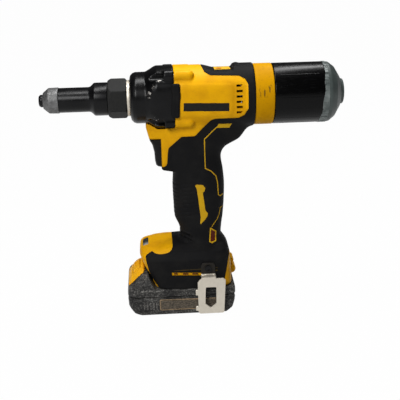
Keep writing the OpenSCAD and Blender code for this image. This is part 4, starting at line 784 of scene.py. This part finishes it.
mount(turned("end_cap_skin", cap_profile, [0.3, 0.2, 0.1, 0.8, 3.5, 3.0, 1.5, 0.6, 1.0, 0, 0, 0.8, 2], 128),
      smoke, "canister_unit", "smoke_plastic", "end_cap")


def skirt(x, y, z):
    """Clear lip of the cap, drawn over the canister with a wavy edge that runs further in below."""
    turn = np.arctan2(y, z - axis_z)
    lip = 149.2 + 2.6 * np.cos(turn) + 0.45 * np.cos(9 * turn)
    return soft_max(np.abs(np.hypot(y, z - axis_z) - 31.15) - 0.3, np.maximum(lip - x, x - 155.0), 0.2)


pale_smoke = mottled("pale_smoke", (0.10, 0.12, 0.117), (0.24, 0.27, 0.262), 0.35, 0.2, (90, 4), (0.35, 0.7),
                     gloss=0.3, Transmission_Weight=0.1)
mount(formed("end_cap_lip", skirt, (144, -33, 195), (157, 33, 261), 0.55), pale_smoke, "canister_unit",
      "smoke_plastic")

# Trigger: a moulded black nylon lever that slides back into the grip against its spring. Its finger
# face is hollow in side view and well rounded across.
trigger_face = [(155.5, -21.2), (157, -22.4), (161.4, -23.4), (170.8, -23.9), (178.5, -25.6), (182.9, -28.0),
                (185, -28.9)]
trigger_z, trigger_half, stem_z, stem_r, spring_room_r = 170.25, 14.7, 173.8, 2.5, 4.5


def trigger(x, y, z):
    face = np.interp(z, *np.transpose(trigger_face))
    plan = np.hypot(np.maximum(face + 6.0 - x, 0), np.maximum(np.abs(y) - 2.4, 0)) - 6.0
    d = soft_max(soft_max(plan, x + 12.1, 0.8), np.abs(z - trigger_z) - trigger_half, 1.6)
    stem = np.hypot(y, z - stem_z)
    d = np.maximum(d, -np.maximum(stem - spring_room_r, -20.0 - x))
    return np.minimum(d, np.maximum(stem - stem_r, np.maximum(-21.0 - x, x - 0.9)))


satin_black = mottled("satin_black_nylon", (0.002, 0.002, 0.002), (0.007, 0.007, 0.007), 0.42, 0.15, (70, 4),
                      (0.4, 0.8), gloss=0.15)
satin_black.drive(Normal=satin_black.place.noise(1500, 2).bump(0.15, 0.0002))
mount(formed("trigger_skin", trigger, (-31, -10, 154), (2.5, 10, 187), 0.7), satin_black, "trigger_lever",
      "black_plastic", "trigger")

# Work light lens: a clear moulded window in the sloping front of the foot, frosted inside. The two
# housing halves close round it and hold it.
lens = Finish("clear_lens", IOR=1.46, Transmission_Weight=0.55, Roughness=0.12)
frost = lens.place.noise(150, 3)
# The near end of the window is painted near white and the far end dark grey: painted light and shade, broken
# up by the frosting.
painted_light_end = (frost * 0.4 - lens.axis(1) * 110.0 - 0.35).clamped()
lens.drive(Base_Color=painted_light_end.mix((0.06, 0.065, 0.065), (0.86, 0.87, 0.86)), Normal=frost.bump(0.2, 0.0006))


def lens_form(x, y, z):
    box = rounded_box(x, y, z, (-40.1, -11.0, 64.0), (-34.3, 11.0, 76.0), 0.6)
    return soft_max(box, body(x, y, z) + 0.25, 0.4)


mount(formed("light_lens_window", lens_form, (-41.5, -12.2, 63), (-33, 12.2, 75), 0.5), lens, "tool",
      "clear_plastic", "light_lens")

# Belt hook: a strip of zinc plated steel, cut out with a five sided window, bent twice and screwed to
# the foot. The plating is worn to a dull beige, and the strip's left edge is curled in two places.
hook_outline = fillet([(16.2, 4.0), (43.2, 4.0), (45.2, 41.0), (43.0, 43.2), (18.6, 43.2), (15.6, 39.0)],
                      [2.5, 2.0, 1.5, 3.0, 3.0, 3.0])
strip, outer_face, screw_hole, screw_x, screw_z = 2.0, 47.05, 2.1, 27.5, 52.3
window = fillet([(24.2, 33.6), (35.2, 33.4), (34.9, 15.2), (29.0, 10.6), (23.4, 15.2)], 1.2)


def hook(x, y, z):
    plate = soft_max(np.abs(y + 46.1) - strip / 2, outline_distance(hook_outline, x, z), 0.5)
    plate = soft_max(plate, -outline_distance(window, x, z), 0.5)
    web = rounded_box(x, y, z, (20, -47.1, 42.6), (35, -38.15, 45.0), 0.5)
    tab = rounded_box(x, y, z, (20, -40.1, 43.0), (35, -38.15, 58.0), 0.5)
    tab = soft_max(tab, np.abs(x - screw_x) - 7.5 + np.maximum(z - 55.0, 0) * 0.7, 0.6)
    d = soft_min(soft_min(web, tab, 1.2), plate, 1.4)
    for low, high in ((24.5, 31.0), (7.0, 12.5)):
        d = soft_min(d, rounded_box(x, y, z, (13.4, -46.4, low), (17.2, -44.2, high), 0.9), 0.8)
    return np.maximum(np.maximum(d, -outer_face - y), screw_hole - np.hypot(x - screw_x, z - screw_z))


hook_zinc = zinc("zinc_with_painted_shade", gloss=0.12)
# Above 45.5 mm the tab is painted near black and loses its metal: painted shade, where the tab lies in the
# recess of the foot.
painted_shade_on_tab = ((hook_zinc.axis(2) - 0.0455) * 900.0 + (hook_zinc.drawn - 0.5) * 0.8).clamped()
hook_zinc.drive(Base_Color=(painted_shade_on_tab * 0.98).mix(hook_zinc.colour(), (0.006, 0.005, 0.004)),
                Metallic=0.75 - painted_shade_on_tab * 0.75)
mount(formed("belt_hook_skin", hook, (12, -48.5, 2.5), (46.5, -37, 59.5), 0.6), hook_zinc, "tool",
      "worn_zinc", "belt_hook")

# Battery pack: lower and upper case and a yellow front cap, moulded in nylon round five cells and screwed
# together from below. The cases are dusty and scuffed; the upper one carries the guide tower.
pack_corners = [
    (-44.05, 0), (46.5, 0), (53.2, 5.4), (56.2, 12.5), (56.9, 19.4), (56.7, 28.95), (-29.7, 28.95),
    (-31.2, 30.1), (-40.6, 50.6), (-48, 46.1), (-53.8, 40.2), (-56.8, 33), (-58.2, 25.5), (-58.5, 17.5),
    (-58.3, 9.6), (-51.3, 2.4)]
pack_outline = fillet(pack_corners, [2, 3, 3, 3, 4, 2, 0, 1, 2.5, 4, 5, 5, 4, 3, 2, 2])
cheek_outline = [
    (-48, 28), (-28.6, 28), (-29.8, 32), (-33.8, 38.6), (-37.2, 47), (-39.4, 53.4), (-48, 53.4)]
cap_outline = [
    (-70, 29.0), (-57.8, 29.0), (-55, 31.6), (-48, 38.8), (-41.6, 43.6), (-38, 45), (-38, 60), (-70, 60)]
pack_screws, cap_gap, foot_gap = [(-51.5, 27.0), (51.5, 28.0)], 0.15, 0.6


def pack_plan(x, y):
    r = np.where(x < 0, 12.0, 6.0)
    qx, qy = np.abs(x + 0.85) - 57.75 + r, np.abs(y) - 37.5 + r
    return np.hypot(np.maximum(qx, 0), np.maximum(qy, 0)) + np.minimum(np.maximum(qx, qy), 0) - r


def crowned(y, z):
    """Height as the flat outline sees it, so that the hump falls away to both sides."""
    return z + 0.01 * y * y * np.clip((z - 29.0) / 4.0, 0, 1)


def pack_body(x, y, z):
    rounding = np.interp(z, [12, 20, 32, 40], [3.5, 1.6, 1.6, 3.0])
    return soft_max(outline_distance(pack_outline, x, crowned(y, z)), pack_plan(x, y), rounding)


def pack_hollows(x, y, z):
    room = square_box(x, y, z, (0, 0, 12.25), (47.3, 33.2, 9.3))
    well = square_box(x, y, z, (-48.25, 0, 46), (4.15, 13.4, 14))
    hole_r = np.where(z < 12, 3.15, 2.1)
    hole = np.minimum.reduce([np.maximum(np.hypot(x - a, np.abs(y) - b) - hole_r, z - 26.1)
                              for a, b in pack_screws])
    return np.minimum(np.minimum(room, well), hole)


def clear_of_cap(d, x, z):
    return soft_max(d, cap_gap - outline_distance(cap_outline, x, z), 0.5)


def pack_lower(x, y, z):
    d = clear_of_cap(soft_max(pack_body(x, y, z), z - 20.8, 0.7), x, z)
    ledge = 0.7 * np.clip((z - 17.2) / 0.8, 0, 1)
    return np.maximum(d + ledge, -pack_hollows(x, y, z))


def pack_upper(x, y, z):
    d = clear_of_cap(soft_max(pack_body(x, y, z), 21.1 - z, 0.7), x, z)
    cheek = soft_max(outline_distance(cheek_outline, x, z), pack_plan(x, y), 0.8)
    cheek = soft_max(cheek, crowned(y, z) - 49.0, 1.5)
    d = np.minimum(d, clear_of_cap(soft_max(cheek, foot_gap - body(x, y, z), 0.5), x, z))
    tower = rounded_box(x, y, z, (-29, -27, 24), (45, 27, 43), 1.0)
    tower = np.maximum(tower, -np.maximum(23.0 - np.abs(y), np.abs(z - 35) - 2.0))
    slots = np.minimum(np.abs(np.abs(y) - 5), np.abs(np.abs(y) - 15)) - 1.0
    tower = np.maximum(tower, -np.maximum(slots, np.maximum(33.4 - x, np.abs(z - 38) - 3.4)))
    return np.maximum(np.minimum(d, tower), -pack_hollows(x, y, z))


def pack_cap(x, y, z):
    d = soft_max(pack_body(x, y, z), outline_distance(cap_outline, x, z) + cap_gap, 0.6)
    return np.maximum(d, -pack_hollows(x, y, z))


dusty_black = Finish("dusty_black_nylon", gloss=0.15)
speck = dusty_black.place.noise(620, 6, 0.75).ramp(0.50, 0.66)
drift = dusty_black.place.stretched((0.5, 1, 1.6)).noise(75, 5, 0.65).ramp(0.36, 0.68)
scrape = dusty_black.place.stretched((0.12, 1, 1), (0, 0.12, 0)).noise(900, 3, 0.6)
scrape = scrape.ramp(0.60, 0.68)
along, across, upward = (dusty_black.axis(i) for i in range(3))
slope_end, bend, rim_end = -0.0530, -0.0437, -0.0195
# A pale line along the near side at 28 mm height and along the sloped edge in front of it is part wear and
# part painted highlight.
rim = 1.4 - (upward - 0.0280).maths("ABSOLUTE", 0) * 900.0
slope = 1.2 - (upward - 0.0540 - along * 0.6).maths("ABSOLUTE", 0) * 1100.0
slope = slope * (along < bend) * (along > slope_end)
edge = (rim * (along > bend) * (along < rim_end)).maths("MAXIMUM", slope)
edge = (edge.maths("MAXIMUM", 0.0) * (across < -0.02)) * (0.12 + speck * 1.1) * (0.4 + drift * 0.8)
# dirt holds the dust and scrapes and also that pale edge line, so it is partly painted highlight.
dirt = (speck * (0.14 + drift * 0.86) + scrape * 0.45 + drift * 0.12 + edge * 1.1).maths("MINIMUM", 1.0)
dusty_black.drive(Base_Color=dirt.mix((0.012, 0.012, 0.012), (0.30, 0.29, 0.27)), Roughness=0.5 + dirt * 0.3,
                  Normal=speck.bump(0.25, 0.0003))
mount(formed("pack_lower_skin", pack_lower, (-60.5, -39, -1.5), (58.5, 39, 22.5), 1.0), dusty_black, "pack",
      "black_plastic", "pack_lower_case")
mount(formed("pack_upper_skin", pack_upper, (-60.5, -39, 19.5), (58.5, 39, 56), 0.9), dusty_black, "pack",
      "black_plastic", "pack_upper_case")
cap_yellow = yellow_nylon("dusty_yellow_nylon", (0.90, 0.44, 0.006), (0.70, 0.36, 0.04), 0.45)
mount(formed("pack_cap_skin", pack_cap, (-60.5, -39, 27.5), (-36.5, 39, 56), 0.8), cap_yellow, "pack",
      "yellow_plastic", "pack_front_cap")
rib_piece = formed("one_rib", rounded((-0.8, -37.95, 7.0), (0.8, -36.6, 15.4), 0.5),
                   (-1.6, -38.4, 6), (1.6, -36, 16.5), 0.35)
rubbed_black = mottled("rubbed_black_nylon", (0.03, 0.03, 0.03), (0.20, 0.19, 0.175), 0.5, 0.25,
                       (700, 5, 0.7), (0.38, 0.62), gloss=0.15)
mount(repeated("pack_side_ribs", rib_piece, 5, (-0.0408, 0, 0), (0.0033, 0, -0.00015), (0, 0, 0),
               rubbed_black), rubbed_black, "pack", "black_plastic")
side_outline = fillet([(-24.0, 6.2), (43.0, 6.2), (43.0, 17.0), (-24.0, 17.6)], 1.2)


def side_frame(x, y, z):
    return soft_max(np.abs(y + 37.45) - 0.35, np.abs(outline_distance(side_outline, x, z)) - 0.55, 0.1)


def side_plate(x, y, z):
    return soft_max(np.abs(y + 37.2) - 0.48, outline_distance(side_outline, x, z) + 0.6, 0.1)


faded_gold = mottled("faded_gold_print", (0.10, 0.08, 0.05), (0.42, 0.29, 0.17), 0.5, 0.2,
                     (500, 5, 0.7), (0.35, 0.65), gloss=0.2)
mount(formed("pack_side_frame", side_frame, (-26, -38.4, 4.5), (45, -36.4, 19), 0.4), faded_gold, "pack",
      "black_plastic")
rubbed_plate = mottled("rubbed_plate", (0.022, 0.019, 0.015), (0.165, 0.135, 0.10), 0.45, 0.2, (800, 6, 0.75),
                       (0.38, 0.62), (0.5, 1, 1), gloss=0.2)
mount(formed("pack_side_plate", side_plate, (-26, -38.3, 4.5), (45, -36.1, 19), 0.4), rubbed_plate, "pack",
      "black_plastic")

# Release button: a moulded yellow nylon key with ridges for the thumb. It slides in a well in the top of
# the front cap, and its spring pushes it up again.


def button(x, y, z):
    key = rounded_box(x, y, z, (-52, -13, 38), (-44.5, 13, 56), 0.8)
    return soft_max(key, outline_distance(pack_outline, x, crowned(y, z) - 0.8), 0.8)


mount(formed("release_button_skin", button, (-54, -14.5, 36.5), (-43, 14.5, 57), 0.6), cap_yellow, "button",
      "yellow_plastic", "release_button")
ridge = formed("one_ridge", rounded((-0.4, -6, -0.4), (0.4, 6, 0.4), 0.38), (-1, -6.8, -1), (1, 6.8, 1), 0.25)
mount(repeated("button_ridges", ridge, 4, (-0.0494, 0, 0.0459), (0.00142, 0, 0.00087), (0, 0, 0), cap_yellow),
      cap_yellow, "button", "yellow_plastic")

# Screws and everything inside: the CAD solids are shown as they are. Each takes a finish by its slot:
# turned or ground steel, oxide black, copper, laminated iron, shrink wrap, board green or black nylon.
turned_steel = mottled("turned_steel", (0.62, 0.62, 0.60), (0.46, 0.46, 0.45), 0.24, 0.14, (2600, 2),
                       stretch=(1, 0.05, 0.05), Metallic=1.0)
bare_copper = mottled("bare_copper", (0.60, 0.27, 0.13), (0.36, 0.15, 0.08), 0.25, 0.2, (240, 4),
                      Metallic=1.0)
iron = mottled("laminated_iron", (0.10, 0.10, 0.11), (0.26, 0.26, 0.27), 0.35, 0.2, (5000, 1),
               stretch=(1, 0.01, 0.01), Metallic=0.8)
wrap = mottled("shrink_wrap", (0.02, 0.11, 0.05), (0.03, 0.16, 0.08), 0.25, 0.15, (180, 3),
               stretch=(1, 0.2, 1), gloss=0.5)
board = mottled("potted_board", (0.012, 0.075, 0.03), (0.02, 0.12, 0.05), 0.35, 0.25, (110, 4), gloss=0.4)
finishes = {"steel": turned_steel, "black_steel": oxide, "copper": bare_copper, "magnet": iron,
            "cell_wrap": wrap, "board": board, "black_plastic": satin_black, "soft_rubber": rubber,
            "worn_zinc": worn_zinc, "yellow_plastic": yellow, "smoke_plastic": smoke, "clear_plastic": lens,
            "black_alloy": black_alloy}
for part in frame["record"]["subparts"]:
    cad = frame["nodes"][part["node"]]
    cad.data.materials.clear()
    cad.data.materials.append(finishes[part["material_slot"]].material)

# Springs: coiled steel wire behind the jaw pusher, the trigger and the release button. Each is the CAD
# coil on the piece that seats its fixed end.
for node, seat, joint, axis, fixed_end, travel in (
        ("jaw_spring", "pull_carriage", "pusher_slide", 0, 1, 0.002),
        ("trigger_spring", "tool", "trigger_press", 0, 1, 0.006),
        ("button_spring", "pack", "button_press", 2, 0, 0.003)):
    cad = frame["nodes"][node]
    coil = placed(node + "_coil", cad.data.copy())
    coil.data.transform(cad.matrix_world)
    mount(coil, turned_steel, seat, "steel", node)
    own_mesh(coil)

# Camera, floor and light: the tool stands on its pack on a white sheet, seen from its left side and a
# little above, under a long soft lamp overhead and a second one further off, to the camera's left.
eye = placed("camera", bpy.data.cameras.new("camera"))
eye.data.lens, eye.data.sensor_width = 75.6, 36.0
ways = (0.997622, -0.064865, -0.023314), (0.041223, 0.290388, 0.956021), (0.055242, 0.954708, -0.292372)
eye.matrix_world = Matrix([[ways[0][i], ways[1][i], -ways[2][i], at] for i, at in
                           enumerate((-0.026827, -0.86007, 0.378687))] + [[0, 0, 0, 1]])
scene.camera = eye
sheet, floor_z = 40000.0, -0.2
floor = solid("floor", [(x * sheet, y * sheet, floor_z) for x, y in ((-1, -1), (1, -1), (1, 1), (-1, 1))],
              [(0, 1, 2, 3)])
paper = Finish("paper", Roughness=0.9)
paper.drive(Base_Color=paper.place.noise(30).mix((0.48, 0.48, 0.48), (0.52, 0.52, 0.52)))
ray, glossy, through = (paper.place.node("ShaderNodeLightPath", None, None, "Is %s Ray" % kind)
                        for kind in ("Camera", "Glossy", "Transmission"))
seen = ray.maths("MAXIMUM", glossy).maths("MAXIMUM", through)
lit = seen.node("ShaderNodeEmission", None, {"Color": (1, 1, 1, 1), "Strength": 1.0})
matt = Tint(seen.tree, paper.shader.outputs[0])
blend = seen.node("ShaderNodeMixShader", None, {0: seen * 0.985, 1: matt, 2: lit})
seen.tree.links.new(blend.socket, seen.tree.nodes["Material Output"].inputs[0])
floor.data.materials.append(paper.material)
world = bpy.data.worlds.new("studio")
scene.world = world
world.use_nodes = True
back = world.node_tree.nodes["Background"]
back.inputs["Color"].default_value, back.inputs["Strength"].default_value = (1, 1, 1, 1), 0.06


def lamp(name, place, aim, size, watts, turn=0):
    data = bpy.data.lights.new(name, "AREA")
    data.shape, data.size, data.size_y, data.energy = "RECTANGLE", size[0], size[1], watts
    way = (Vector(aim) - Vector(place)).to_track_quat("-Z", "Y").to_matrix().to_4x4()
    place = Matrix.Translation(place) @ way @ Matrix.Rotation(math.radians(turn), 4, "Z")
    placed(name, data).matrix_world = place


lamp("overhead", (0.055, 0.115, 1.05), (0.055, 0.115, 0.15), (1.2, 0.17), 10.8, 51)
lamp("front", (-0.5, -1.1, 0.9), (0.0, 0.0, 0.14), (0.5, 0.5), 13)
scene.view_settings.view_transform = "Standard"
